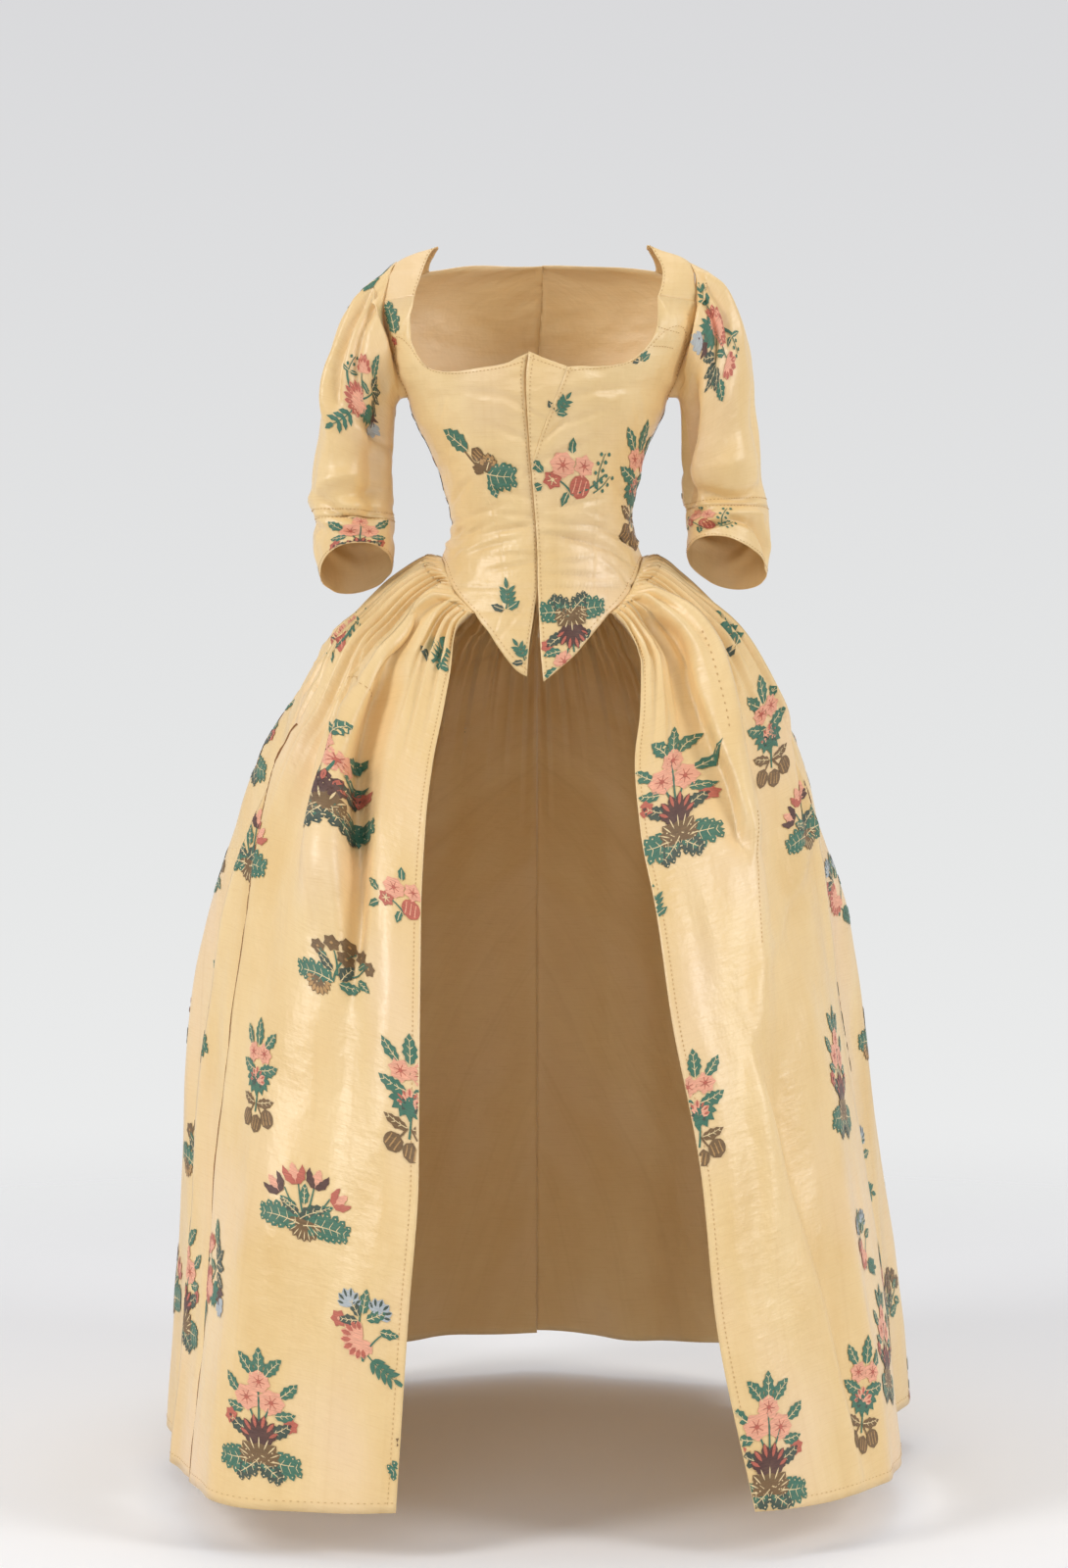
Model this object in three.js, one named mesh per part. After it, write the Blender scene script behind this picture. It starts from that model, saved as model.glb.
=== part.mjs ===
// An open robe à l'anglaise of figured silk, worn: a fitted bodice that closes down the centre front and
// ends in two points, elbow sleeves, and a full skirt that is pleated to the bodice and open in front.
// Millimetres, +Z up, the gown faces -Y and its wearer's left is +X. Heights in the tables are measured
// up from the hem; the whole gown is then lowered so that the origin lies where the shoulders hold it.
import * as THREE from 'three';

// ---- driving dimensions ----------------------------------------------------------------------------
const CLOTH = 2;              // thickness of every cloth wall
const SEAM_GAP = 0.3;         // space between two pieces along their seam
const HOLD_HEIGHT = 1309;     // where the shoulders carry the straps
const SKIRT_START = 31;       // turn from centre front at which the skirt begins, degrees
const SIDE_SEAM = 86;         // turn of the seam under the arm
const BACK_SEAM = 121;        // turn of the seam between side and back
const UNDERARM = 1149;        // height of the lowest point of the armhole
const SEAM_LEVEL = 970;       // height of the waist seam at the sides
const FOLD_FADE = 170;        // length over which a fold dies away above and below
const BODICE_ROWS = 10;
const SEAM_COLUMNS = { front: 8, side: 4, back: 7 };
const FINE = 6;               // a front's grid is first untangled this many times finer,
const CALM_SHARE = 0.55;      // then goes this share of the way from its plain patch to that one,
const CORNER_OPEN = 24;       // and its corners are opened until they measure this, degrees times mm
const STRAP_COLUMNS = 2;
const STRAP_INSIDE = 8;       // the point of a front's upper edge where its strap's inner edge ends
const STRAP_ROWS = 6;
const SKIRT_PANELS = { front: [0, 11], side: [11, 24], back: [24, 38] };
const RIGHT = -1;
const LEFT = 1;

// The body of the bodice as ellipses, one row for each height.
const TORSO = [
  { height: 820, middle: 4, half: 192, front: 143, back: 160 },
  { height: 880, middle: 5, half: 160, front: 127, back: 138 },
  { height: 920, middle: 6, half: 138, front: 114, back: 122 },
  { height: 950, middle: 6, half: 122, front: 104, back: 111 },
  { height: 975, middle: 6, half: 110, front: 98, back: 104 },
  { height: 997, middle: 6, half: 102, front: 95, back: 101 },
  { height: 1019, middle: 5, half: 102, front: 96, back: 101 },
  { height: 1041, middle: 4, half: 106, front: 99, back: 103 },
  { height: 1085, middle: 2, half: 118, front: 109, back: 108 },
  { height: 1129, middle: 1, half: 138, front: 121, back: 114 },
  { height: 1151, middle: 1, half: 145, front: 125, back: 117 },
  { height: 1172, middle: 1, half: 157, front: 124, back: 118 },
  { height: 1200, middle: 2, half: 168, front: 114, back: 118 },
  { height: 1230, middle: 3, half: 179, front: 95, back: 115 },
  { height: 1260, middle: 5, half: 184, front: 70, back: 106 },
  { height: 1280, middle: 6, half: 180, front: 47, back: 94 },
  { height: 1292, middle: 6, half: 171, front: 33, back: 84 },
  { height: 1302, middle: 6, half: 157, front: 22, back: 71 },
  { height: 1312, middle: 6, half: 132, front: 11, back: 50 },
  { height: 1322, middle: 6, half: 98, front: 4, back: 20 },
];

// The seam that joins the skirt to the bodice.
const WAIST_SEAM = [
  { turn: 31, height: 910 },
  { turn: 45, height: 930 },
  { turn: 60, height: 952 },
  { turn: 75, height: 966 },
  { turn: 90, height: 971 },
  { turn: 110, height: 969 },
  { turn: 130, height: 959 },
  { turn: 150, height: 944 },
  { turn: 168, height: 926 },
  { turn: 180, height: 918 },
];

// The closing line at the centre front; below the waist the two points part.
const CENTRE_LINE = [
  { height: 835, right: -11, left: 7 },
  { height: 868, right: -9, left: 4 },
  { height: 912, right: -3, left: 2 },
  { height: 940, right: 1, left: 1 },
  { height: 985, right: 0, left: 0 },
  { height: 1039, right: -4, left: -4 },
  { height: 1104, right: -9, left: -9 },
  { height: 1162, right: -12, left: -12 },
  { height: 1192, right: -9, left: -9 },
];

// The free lower edge of each front, from its point out to where the skirt begins.
const POINT_EDGE = {
  right: [
    { x: -11, height: 841 },
    { x: -22, height: 847 },
    { x: -34, height: 861 },
    { x: -44, height: 875 },
    { x: -53, height: 889 },
    { x: -62, height: 900 },
  ],
  left: [
    { x: 7, height: 835 },
    { x: 24, height: 849 },
    { x: 41, height: 864 },
    { x: 53, height: 878 },
    { x: 63, height: 890 },
    { x: 72, height: 901 },
  ],
};

// The upper edge of each front: neckline, the end of the strap, and the front of the armhole.
const FRONT_TOP = {
  right: [
    { x: -9, height: 1192 },
    { x: -33, height: 1181 },
    { x: -60, height: 1176 },
    { x: -91, height: 1172 },
    { x: -116, height: 1176 },
    { x: -128, height: 1188 },
    { x: -138, height: 1207 },
    { x: -139, height: 1226 },
    { x: -135, height: 1258 },
    { x: -152, height: 1256 },
    { x: -169, height: 1253 },
    { x: -169, height: 1226 },
    { x: -158, height: 1190 },
    { x: -148, height: 1162 },
  ],
  left: [
    { x: 33, height: 1176 },
    { x: 48, height: 1177 },
    { x: 64, height: 1177 },
    { x: 85, height: 1179 },
    { x: 105, height: 1186 },
    { x: 123, height: 1204 },
    { x: 131, height: 1222 },
    { x: 133, height: 1240 },
    { x: 133, height: 1258 },
    { x: 154, height: 1256 },
    { x: 176, height: 1253 },
    { x: 173, height: 1226 },
    { x: 162, height: 1190 },
    { x: 151, height: 1162 },
  ],
};

// The slanting seam of the small wedge let into the wearer's left front.
const WEDGE_SEAM = [
  { x: 33, height: 1176 },
  { x: 24, height: 1152 },
  { x: 13, height: 1125 },
  { x: 3, height: 1098 },
  { x: -6, height: 1070 },
];

// Strap edges over the shoulder, and the back's upper edge, measured sideways from the middle line.
const STRAP_INNER = [
  { turn: 47, height: 1258 },
  { turn: 49, height: 1286 },
  { turn: 58, height: 1306 },
  { turn: 82, height: 1316 },
  { turn: 108, height: 1315 },
  { turn: 124, height: 1306 },
  { turn: 132, height: 1292 },
];
const STRAP_OUTER = [
  { turn: 68, height: 1253 },
  { turn: 70, height: 1277 },
  { turn: 76, height: 1292 },
  { turn: 86, height: 1299 },
  { turn: 96, height: 1297 },
  { turn: 106, height: 1285 },
  { turn: 111, height: 1267 },
];
const ARMHOLE_BACK = [
  { across: 148, height: 1168 },
  { across: 165, height: 1208 },
  { across: 172, height: 1244 },
];
const BACK_NECK = [
  { across: 74, height: 1299 },
  { across: 0, height: 1300 },
];

// Rings of the upper sleeve and of the elbow piece: the outermost and innermost point of each ring,
// half its depth, how far it leans back, and how much its front stands above its back.
const SLEEVE = [
  { right: [184, 1281], left: [190, 1290], rightIn: [152, 1146], leftIn: [156, 1147],
    deep: 47, lean: 1, rise: 0 },
  { right: [204, 1258], left: [206, 1276], rightIn: [155, 1142], leftIn: [158, 1143],
    deep: 51, lean: 1, rise: 0 },
  { right: [219, 1232], left: [219, 1256], rightIn: [157, 1137], leftIn: [159, 1138],
    deep: 54, lean: 2, rise: 0 },
  { right: [230, 1204], left: [229, 1228], rightIn: [158, 1128], leftIn: [160, 1130],
    deep: 56, lean: 3, rise: 0 },
  { right: [238, 1172], left: [237, 1192], rightIn: [159, 1112], leftIn: [160, 1114],
    deep: 56, lean: 5, rise: 0 },
  { right: [243, 1125], left: [244, 1135], rightIn: [160, 1084], leftIn: [160, 1085],
    deep: 55, lean: 7, rise: 0 },
  { right: [248, 1070], left: [252, 1080], rightIn: [160, 1049], leftIn: [161, 1054],
    deep: 53, lean: 8, rise: 2 },
  { right: [251, 1013], left: [256, 1027], rightIn: [160, 1012], leftIn: [165, 1024],
    deep: 52, lean: 6, rise: 4 },
];
const ELBOW = [
  { right: [251, 1013], left: [256, 1027], rightIn: [160, 1012], leftIn: [165, 1024],
    deep: 52, lean: 6, rise: 4 },
  { right: [251, 985], left: [257, 988], rightIn: [160, 992], leftIn: [166, 1003],
    deep: 52, lean: 3, rise: 13 },
  { right: [244, 952], left: [255, 954], rightIn: [163, 966], leftIn: [168, 976],
    deep: 54, lean: 0, rise: 28 },
];

// Rings of the skirt from the waist seam down. follow says how far the ring keeps the dip of that seam;
// square is the roundness of its front; the edges are where the front opening begins on each side;
// pleat is how far the small pleats stand in and out by turns.
const SKIRT = [
  { level: 970, follow: 1, middleX: 6, middleY: 0, right: 112, left: 112, front: 104, back: 110,
    square: 2.1, edgeRight: -68, edgeLeft: 78, pleat: 0 },
  { level: 966, follow: 1, middleX: 6, middleY: 2, right: 130, left: 130, front: 131, back: 136,
    square: 2.1, edgeRight: -76, edgeLeft: 86, pleat: 2.5 },
  { level: 949, follow: 0.95, middleX: 4, middleY: 6, right: 158, left: 158, front: 138, back: 174,
    square: 2.15, edgeRight: -88, edgeLeft: 99, pleat: 4 },
  { level: 917, follow: 0.78, middleX: 2, middleY: 12, right: 194, left: 196, front: 149, back: 220,
    square: 2.2, edgeRight: -92, edgeLeft: 110, pleat: 4.5 },
  { level: 884, follow: 0.5, middleX: 0, middleY: 18, right: 229, left: 228, front: 163, back: 261,
    square: 2.25, edgeRight: -93, edgeLeft: 113, pleat: 4 },
  { level: 821, follow: 0.22, middleX: 0, middleY: 24, right: 264, left: 265, front: 191, back: 315,
    square: 2.35, edgeRight: -100, edgeLeft: 111, pleat: 2.5 },
  { level: 752, follow: 0.06, middleX: 0, middleY: 30, right: 294, left: 295, front: 229, back: 358,
    square: 2.45, edgeRight: -111, edgeLeft: 104, pleat: 0 },
  { level: 680, follow: 0, middleX: 0, middleY: 36, right: 319, left: 314, front: 276, back: 392,
    square: 2.6, edgeRight: -118, edgeLeft: 109, pleat: 0 },
  { level: 601, follow: 0, middleX: 0, middleY: 42, right: 343, left: 323, front: 317, back: 422,
    square: 2.75, edgeRight: -121, edgeLeft: 124, pleat: 0 },
  { level: 491, follow: 0, middleX: 0, middleY: 48, right: 362, left: 338, front: 361, back: 450,
    square: 2.9, edgeRight: -121, edgeLeft: 139, pleat: 0 },
  { level: 340, follow: 0, middleX: 0, middleY: 54, right: 376, left: 359, front: 405, back: 478,
    square: 3.05, edgeRight: -121, edgeLeft: 168, pleat: 0 },
  { level: 190, follow: 0, middleX: 0, middleY: 58, right: 383, left: 381, front: 438, back: 500,
    square: 3.3, edgeRight: -131, edgeLeft: 183, pleat: 0 },
  { level: 0, follow: 0, middleX: 0, middleY: 60, right: 397, left: 400, front: 462, back: 522,
    square: 3.7, edgeRight: -143, edgeLeft: 222, pleat: 0 },
];

// The largest folds. share runs along a ring from the front edge (0) to the centre back (1); a positive
// depth stands out and a negative one goes in; each holds from its top height to its bottom height.
const FOLDS = {
  right: [
    { share: 0.06, width: 0.03, depth: 7, top: 860, bottom: 500 },
    { share: 0.115, width: 0.026, depth: -24, top: 900, bottom: 690 },
    { share: 0.185, width: 0.035, depth: 13, top: 880, bottom: 560 },
    { share: 0.12, width: 0.05, depth: -22, top: 260, bottom: -200 },
    { share: 0.289, width: 0.016, depth: -9, top: 640, bottom: -200 },
    { share: 0.34, width: 0.03, depth: 9, top: 700, bottom: -200 },
    { share: 0.43, width: 0.045, depth: -20, top: 720, bottom: -200 },
    { share: 0.52, width: 0.04, depth: 18, top: 700, bottom: -200 },
    { share: 0.61, width: 0.035, depth: -22, top: 760, bottom: -200 },
    { share: 0.7, width: 0.04, depth: 20, top: 700, bottom: -200 },
    { share: 0.79, width: 0.035, depth: -26, top: 780, bottom: -200 },
    { share: 0.88, width: 0.04, depth: 18, top: 660, bottom: -200 },
    { share: 1, width: 0.035, depth: -18, top: 760, bottom: -200 },
  ],
  left: [
    { share: 0.07, width: 0.03, depth: 6, top: 860, bottom: 640 },
    { share: 0.125, width: 0.026, depth: -27, top: 880, bottom: 770 },
    { share: 0.19, width: 0.03, depth: 12, top: 860, bottom: 640 },
    { share: 0.289, width: 0.016, depth: -7, top: 820, bottom: 600 },
    { share: 0.37, width: 0.035, depth: 12, top: 480, bottom: -200 },
    { share: 0.49, width: 0.05, depth: -30, top: 560, bottom: -200 },
    { share: 0.655, width: 0.07, depth: 62, top: 380, bottom: -200 },
    { share: 0.765, width: 0.03, depth: -26, top: 700, bottom: -200 },
    { share: 0.84, width: 0.03, depth: 16, top: 640, bottom: -200 },
    { share: 0.91, width: 0.03, depth: 12, top: 660, bottom: -200 },
    { share: 1, width: 0.035, depth: -18, top: 760, bottom: -200 },
  ],
};

// ---- working the tables out --------------------------------------------------------------------------
const radians = THREE.MathUtils.degToRad;
const degrees = THREE.MathUtils.radToDeg;
const nameOf = (side) => (side === RIGHT ? 'right' : 'left');

// A row between the rows of a table: a smooth curve through each column that never overshoots.
function rowAt(table, key, value) {
  const last = table.length - 2;
  let i = table.findIndex((row) => row[key] > value) - 1;
  if (i < 0) i = value <= table[0][key] ? 0 : last;
  const span = table[i + 1][key] - table[i][key];
  const t = THREE.MathUtils.clamp((value - table[i][key]) / span, 0, 1);
  const slope = (column, k) => {
    const rise = (j) => (table[j + 1][column] - table[j][column]) / (table[j + 1][key] - table[j][key]);
    if (k === 0) return rise(0);
    if (k === last + 1) return rise(last);
    const before = rise(k - 1);
    const after = rise(k);
    return before * after <= 0 ? 0 : (2 * before * after) / (before + after);
  };
  const row = {};
  for (const column of Object.keys(table[i])) {
    const a = table[i][column];
    const b = table[i + 1][column];
    const ease = (3 - 2 * t) * t * t;
    const bend = (t - 1) * t * span * ((t - 1) * slope(column, i) + t * slope(column, i + 1));
    row[column] = a + (b - a) * ease + bend;
  }
  return row;
}

function torsoPoint([turn, height]) {
  const row = rowAt(TORSO, 'height', height);
  const s = Math.sin(radians(turn));
  const c = Math.cos(radians(turn));
  return new THREE.Vector3(row.middle + row.half * s, -(c > 0 ? row.front : row.back) * c, height);
}

// The outward normal of the torso, from two short steps on it.
function torsoNormal([turn, height]) {
  const around = torsoPoint([turn + 0.5, height]).sub(torsoPoint([turn - 0.5, height]));
  const up = torsoPoint([turn, height + 1]).sub(torsoPoint([turn, height - 1]));
  return around.cross(up).normalize();
}

// The turn of the torso at a sideways place and a height, in front or behind.
function turnOf(x, height, behind = false) {
  const row = rowAt(TORSO, 'height', height);
  const turn = degrees(Math.asin(THREE.MathUtils.clamp((x - row.middle) / row.half, -1, 1)));
  return behind ? Math.sign(turn || 1) * 180 - turn : turn;
}

const seamHeight = (turn) => rowAt(WAIST_SEAM, 'turn', Math.abs(turn)).height;

function steps(count, from, to) {
  return Array.from({ length: count + 1 }, (_, i) => from + ((to - from) * i) / count);
}

// The turns at which the columns of bodice and skirt meet on the waist seam, from front to back.
const stations = {
  front: steps(SEAM_COLUMNS.front, SKIRT_START, SIDE_SEAM),
  side: steps(SEAM_COLUMNS.side, SIDE_SEAM, BACK_SEAM),
  back: steps(SEAM_COLUMNS.back, BACK_SEAM, 180),
};
const allStations = [...stations.front, ...stations.side.slice(1), ...stations.back.slice(1)];

// A patch between four edges, each a list of [turn, height]: it follows all four.
function patch(top, bottom, start, finish) {
  const rows = start.length - 1;
  const columns = top.length - 1;
  return start.map((s, i) => top.map((t, j) => {
    const v = i / rows;
    const u = j / columns;
    return [0, 1].map((k) => (1 - v) * t[k] + v * bottom[j][k] + (1 - u) * s[k] + u * finish[i][k]
      - (1 - u) * (1 - v) * top[0][k] - u * (1 - v) * top[columns][k]
      - (1 - u) * v * bottom[0][k] - u * v * bottom[columns][k]);
  }));
}

// Moves a fine patch's inner points, step by step, until no row crosses a column under a deep neckline.
function untangled(places, times) {
  const grid = places.map((row) => row.map((place) => [...place]));
  const half = (a, b) => [(a[0] - b[0]) / 2, (a[1] - b[1]) / 2];
  const dot = (a, b) => a[0] * b[0] + a[1] * b[1];
  for (let time = 0; time < times; time += 1) {
    for (let i = 1; i < grid.length - 1; i += 1) {
      for (let j = 1; j < grid[0].length - 1; j += 1) {
        const [above, here, below] = [grid[i - 1], grid[i], grid[i + 1]];
        const along = half(here[j + 1], here[j - 1]);
        const down = half(below[j], above[j]);
        const [a, b, c] = [dot(down, down), dot(along, down), dot(along, along)];
        const twist = (k) => (below[j + 1][k] - below[j - 1][k] - above[j + 1][k] + above[j - 1][k]) / 4;
        here[j] = [0, 1].map((k) => (a * (here[j + 1][k] + here[j - 1][k])
          + c * (below[j][k] + above[j][k]) - 2 * b * twist(k)) / (2 * (a + c)));
      }
    }
  }
  return grid;
}

// How open the tightest corner around an inner point is: below zero where rows and columns cross.
function tightestCorner(grid, i, j, turning) {
  const corners = [i - 1, i].flatMap((r) => [j - 1, j].flatMap((c) => {
    const ring = [grid[r][c], grid[r][c + 1], grid[r + 1][c + 1], grid[r + 1][c]];
    return ring.map((p, k) => {
      const [q, s] = [ring[(k + 1) % 4], ring[(k + 3) % 4]];
      return turning * ((q[0] - p[0]) * (s[1] - p[1]) - (q[1] - p[1]) * (s[0] - p[0]));
    });
  }));
  return Math.min(...corners);
}

// Moves inner points, in ever smaller steps, each to where its tightest corner is most open.
function opened(places, turning) {
  const grid = places.map((row) => row.map((place) => [...place]));
  const ways = steps(12, 0, Math.PI * 2).slice(1);
  for (const reach of [8, 8, 8, 6, 6, 6, 4, 4, 4, 3, 3, 3, 2, 2, 2, 1, 1, 1]) {
    for (let i = 1; i < grid.length - 1; i += 1) {
      for (let j = 1; j < grid[0].length - 1; j += 1) {
        const from = grid[i][j];
        let best = from;
        let most = tightestCorner(grid, i, j, turning);
        for (const way of most < CORNER_OPEN ? ways : []) {
          grid[i][j] = [from[0] + reach * 0.4 * Math.cos(way), from[1] + reach * Math.sin(way)];
          const now = tightestCorner(grid, i, j, turning);
          if (now > most) [most, best] = [now, grid[i][j]];
        }
        grid[i][j] = best;
      }
    }
  }
  return grid;
}

// ---- cloth walls -------------------------------------------------------------------------------------
const silk = () => new THREE.MeshStandardMaterial({ color: 0xe8cd96, roughness: 0.5, metalness: 0 });

// Border points drawn in by half a seam gap, so that neighbours never touch.
function drawIn(grid, sidesToo = true) {
  const moved = grid.map((row) => row.map((p) => p.clone()));
  const pull = (i, j, toward) => {
    moved[i][j].add(toward.clone().sub(grid[i][j]).setLength(SEAM_GAP * 0.6));
  };
  const bottom = grid.length - 1;
  const end = grid[0].length - 1;
  for (let j = 0; j <= end; j += 1) {
    pull(0, j, grid[1][j]);
    pull(bottom, j, grid[bottom - 1][j]);
  }
  for (let i = 0; sidesToo && i <= bottom; i += 1) {
    pull(i, 0, grid[i][1]);
    pull(i, end, grid[i][end - 1]);
  }
  return moved;
}

// One closed wall of cloth: outer points, the same points moved in by the thickness, and the edges.
function clothWall(name, grid, normals, loop = false) {
  const rows = grid.length;
  const columns = grid[0].length;
  const positions = [];
  for (const depth of [0, CLOTH]) {
    grid.forEach((row, i) => row.forEach((p, j) => {
      const q = p.clone().addScaledVector(normals[i][j], -depth);
      positions.push(q.x, q.y, q.z);
    }));
  }
  const outer = (i, j) => i * columns + (j % columns);
  const inner = (i, j) => rows * columns + outer(i, j);
  const probe = grid[0][1].clone().sub(grid[0][0]).cross(grid[1][0].clone().sub(grid[0][0]));
  const flip = probe.dot(normals[0][0]) < 0;
  const faces = [];
  const quad = (a, b, c, d) => {
    const corners = flip ? [a, d, c, a, c, b] : [a, b, c, a, c, d];
    faces.push(...corners);
  };
  const lastColumn = loop ? columns : columns - 1;
  for (let i = 0; i < rows - 1; i += 1) {
    for (let j = 0; j < lastColumn; j += 1) {
      quad(outer(i, j), outer(i, j + 1), outer(i + 1, j + 1), outer(i + 1, j));
      quad(inner(i, j), inner(i + 1, j), inner(i + 1, j + 1), inner(i, j + 1));
    }
  }
  for (let j = 0; j < lastColumn; j += 1) {
    quad(outer(0, j), inner(0, j), inner(0, j + 1), outer(0, j + 1));
    quad(outer(rows - 1, j), outer(rows - 1, j + 1), inner(rows - 1, j + 1), inner(rows - 1, j));
  }
  for (let i = 0; !loop && i < rows - 1; i += 1) {
    quad(outer(i, 0), outer(i + 1, 0), inner(i + 1, 0), inner(i, 0));
    quad(outer(i, columns - 1), inner(i, columns - 1), inner(i + 1, columns - 1), outer(i + 1, columns - 1));
  }
  const geometry = new THREE.BufferGeometry();
  geometry.setAttribute('position', new THREE.Float32BufferAttribute(positions, 3));
  geometry.setIndex(faces);
  geometry.computeVertexNormals();
  const mesh = new THREE.Mesh(geometry, silk());
  mesh.name = name;
  return mesh;
}

function bodicePiece(name, places) {
  const grid = places.map((row) => row.map(torsoPoint));
  const normals = places.map((row) => row.map(torsoNormal));
  return clothWall(name, drawIn(grid), normals);
}

// ---- the bodice --------------------------------------------------------------------------------------
const centrePlace = (side, height) => {
  const x = rowAt(CENTRE_LINE, 'height', height)[nameOf(side)];
  return [turnOf(x, height), height];
};
const toPlace = ({ x, height }) => [turnOf(x, height), height];
const between = (a, b, t) => [a[0] + (b[0] - a[0]) * t, a[1] + (b[1] - a[1]) * t];
const straightSeam = (a, b) => steps(BODICE_ROWS, 0, 1).map((t) => between(a, b, t));
const onWaistSeam = (side, turn) => [side * turn, seamHeight(turn)];
const onBack = (side, { across, height }) => {
  const x = rowAt(TORSO, 'height', height).middle + side * across;
  return across === 0 ? [side * 180, height] : [turnOf(x, height, true), height];
};
const underarm = (side) => [side * SIDE_SEAM, UNDERARM];
const sideSeam = (side) => straightSeam(underarm(side), onWaistSeam(side, SIDE_SEAM));
const backSeam = (side) => straightSeam(onBack(side, ARMHOLE_BACK[0]), onWaistSeam(side, BACK_SEAM));
const seamPlaces = (side, part) => stations[part].map((turn) => onWaistSeam(side, turn));

function frontTop(side) {
  return [...FRONT_TOP[nameOf(side)].map(toPlace), underarm(side)];
}

const atStep = (_, i) => i % FINE === 0;
const finer = (edge) => steps((edge.length - 1) * FINE, 0, edge.length - 1).map((t) => {
  const i = Math.min(Math.floor(t + 1e-9), edge.length - 2);
  return between(edge[i], edge[i + 1], t - i);
});

function frontPlaces(side) {
  const bottom = [...POINT_EDGE[nameOf(side)].map(toPlace), ...seamPlaces(side, 'front')];
  const top = frontTop(side);
  const tip = bottom[0][1];
  let closing = steps(BODICE_ROWS, top[0][1], tip).map((height) => centrePlace(side, height));
  if (side === LEFT) {
    const slant = WEDGE_SEAM.map(toPlace);
    const below = steps(BODICE_ROWS - slant.length + 1, slant[slant.length - 1][1], tip).slice(1);
    closing = [...slant, ...below.map((height) => centrePlace(side, height))];
  }
  const edges = [top, bottom, closing, sideSeam(side)];
  const calm = untangled(patch(...edges.map(finer)), 300).filter(atStep).map((row) => row.filter(atStep));
  const mixed = patch(...edges).map((row, i) => row.map((p, j) => between(p, calm[i][j], CALM_SHARE)));
  return opened(mixed, -side);
}

function wedgePlaces() {
  const heights = WEDGE_SEAM.map((point, i) => (i === 0 ? 1192 : point.height));
  const closing = heights.map((height) => centrePlace(LEFT, height));
  const slant = WEDGE_SEAM.map(toPlace);
  return closing.map((start, i) => steps(2, 0, 1).map((t) => between(start, slant[i], t)));
}

// Under the arm the armhole dips from the front seam, then climbs to the back seam.
function sideTop(side) {
  const from = underarm(side);
  const to = onBack(side, ARMHOLE_BACK[0]);
  return steps(SEAM_COLUMNS.side, 0, 1).map((t) => [
    from[0] + (to[0] - from[0]) * t,
    from[1] + (to[1] - from[1]) * t * t,
  ]);
}

const sidePlaces = (side) => patch(sideTop(side), seamPlaces(side, 'side'), sideSeam(side), backSeam(side));

const strapPlace = (side, row, across) => {
  const edges = [STRAP_INNER[row], STRAP_OUTER[row]].map(({ turn, height }) => [side * turn, height]);
  return between(...edges, across);
};

function strapPlaces(side) {
  const frontEnd = frontTop(side).slice(STRAP_INSIDE, STRAP_INSIDE + STRAP_COLUMNS + 1);
  return STRAP_INNER.map((_, row) => (
    row === 0 ? frontEnd : steps(STRAP_COLUMNS, 0, 1).map((across) => strapPlace(side, row, across))
  ));
}

function backTop(side) {
  const strapEnd = steps(STRAP_COLUMNS, 1, 0).map((across) => strapPlace(side, STRAP_ROWS, across));
  return [...ARMHOLE_BACK.map((point) => onBack(side, point)), ...strapEnd,
    ...BACK_NECK.map((point) => onBack(side, point))];
}

function backPlaces(side) {
  const centre = straightSeam(onBack(side, BACK_NECK[1]), onWaistSeam(side, 180));
  return patch(backTop(side), seamPlaces(side, 'back'), backSeam(side), centre);
}

// ---- sleeves -----------------------------------------------------------------------------------------
// The armhole as one loop of [turn, height]: up the front, over the strap, down the back, under the arm.
function armhole(side) {
  const front = frontTop(side).slice(STRAP_INSIDE + STRAP_COLUMNS).reverse();
  const strap = strapPlaces(side).slice(1, -1).map((row) => row[STRAP_COLUMNS]);
  const back = backTop(side).slice(0, ARMHOLE_BACK.length + 1).reverse();
  const under = sideTop(side).slice(1, -1).reverse();
  return [...front, ...strap, ...back, ...under];
}

const middleOf = (points) => (
  points.reduce((sum, p) => sum.add(p), new THREE.Vector3()).divideScalar(points.length)
);

function tubeNormals(grid) {
  const rows = grid.length;
  const columns = grid[0].length;
  const centres = grid.map(middleOf);
  return grid.map((row, i) => row.map((p, j) => {
    const along = grid[Math.min(i + 1, rows - 1)][j].clone().sub(grid[Math.max(i - 1, 0)][j]);
    const around = row[(j + 1) % columns].clone().sub(row[(j + columns - 1) % columns]);
    const normal = along.cross(around).normalize();
    return normal.dot(p.clone().sub(centres[i])) < 0 ? normal.negate() : normal;
  }));
}

function sleeveRing(side, row, angles) {
  const [outX, outUp] = row[nameOf(side)];
  const [inX, inUp] = row[`${nameOf(side)}In`];
  return angles.map((angle) => new THREE.Vector3(
    side * ((outX + inX) / 2 + ((outX - inX) / 2) * Math.cos(angle)),
    row.lean - row.deep * Math.sin(angle),
    (outUp + inUp) / 2 + ((outUp - inUp) / 2) * Math.cos(angle) + row.rise * Math.sin(angle),
  ));
}

function sleeve(side) {
  const loop = armhole(side);
  const first = loop.map((place) => torsoPoint(place).add(new THREE.Vector3(side * SEAM_GAP * 2, 0, 0)));
  const middle = middleOf(first);
  const angles = first.map((p) => Math.atan2(-(p.y - middle.y), (p.z - middle.z) * 0.75));
  const upper = [first, ...SLEEVE.map((row) => sleeveRing(side, row, angles))];
  const lower = ELBOW.map((row) => sleeveRing(side, row, angles));
  return [
    clothWall(`sleeve_${nameOf(side)}`, drawIn(upper, false), tubeNormals(upper), true),
    clothWall(`sleeve_elbow_${nameOf(side)}`, drawIn(lower, false), tubeNormals(lower), true),
  ];
}

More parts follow.
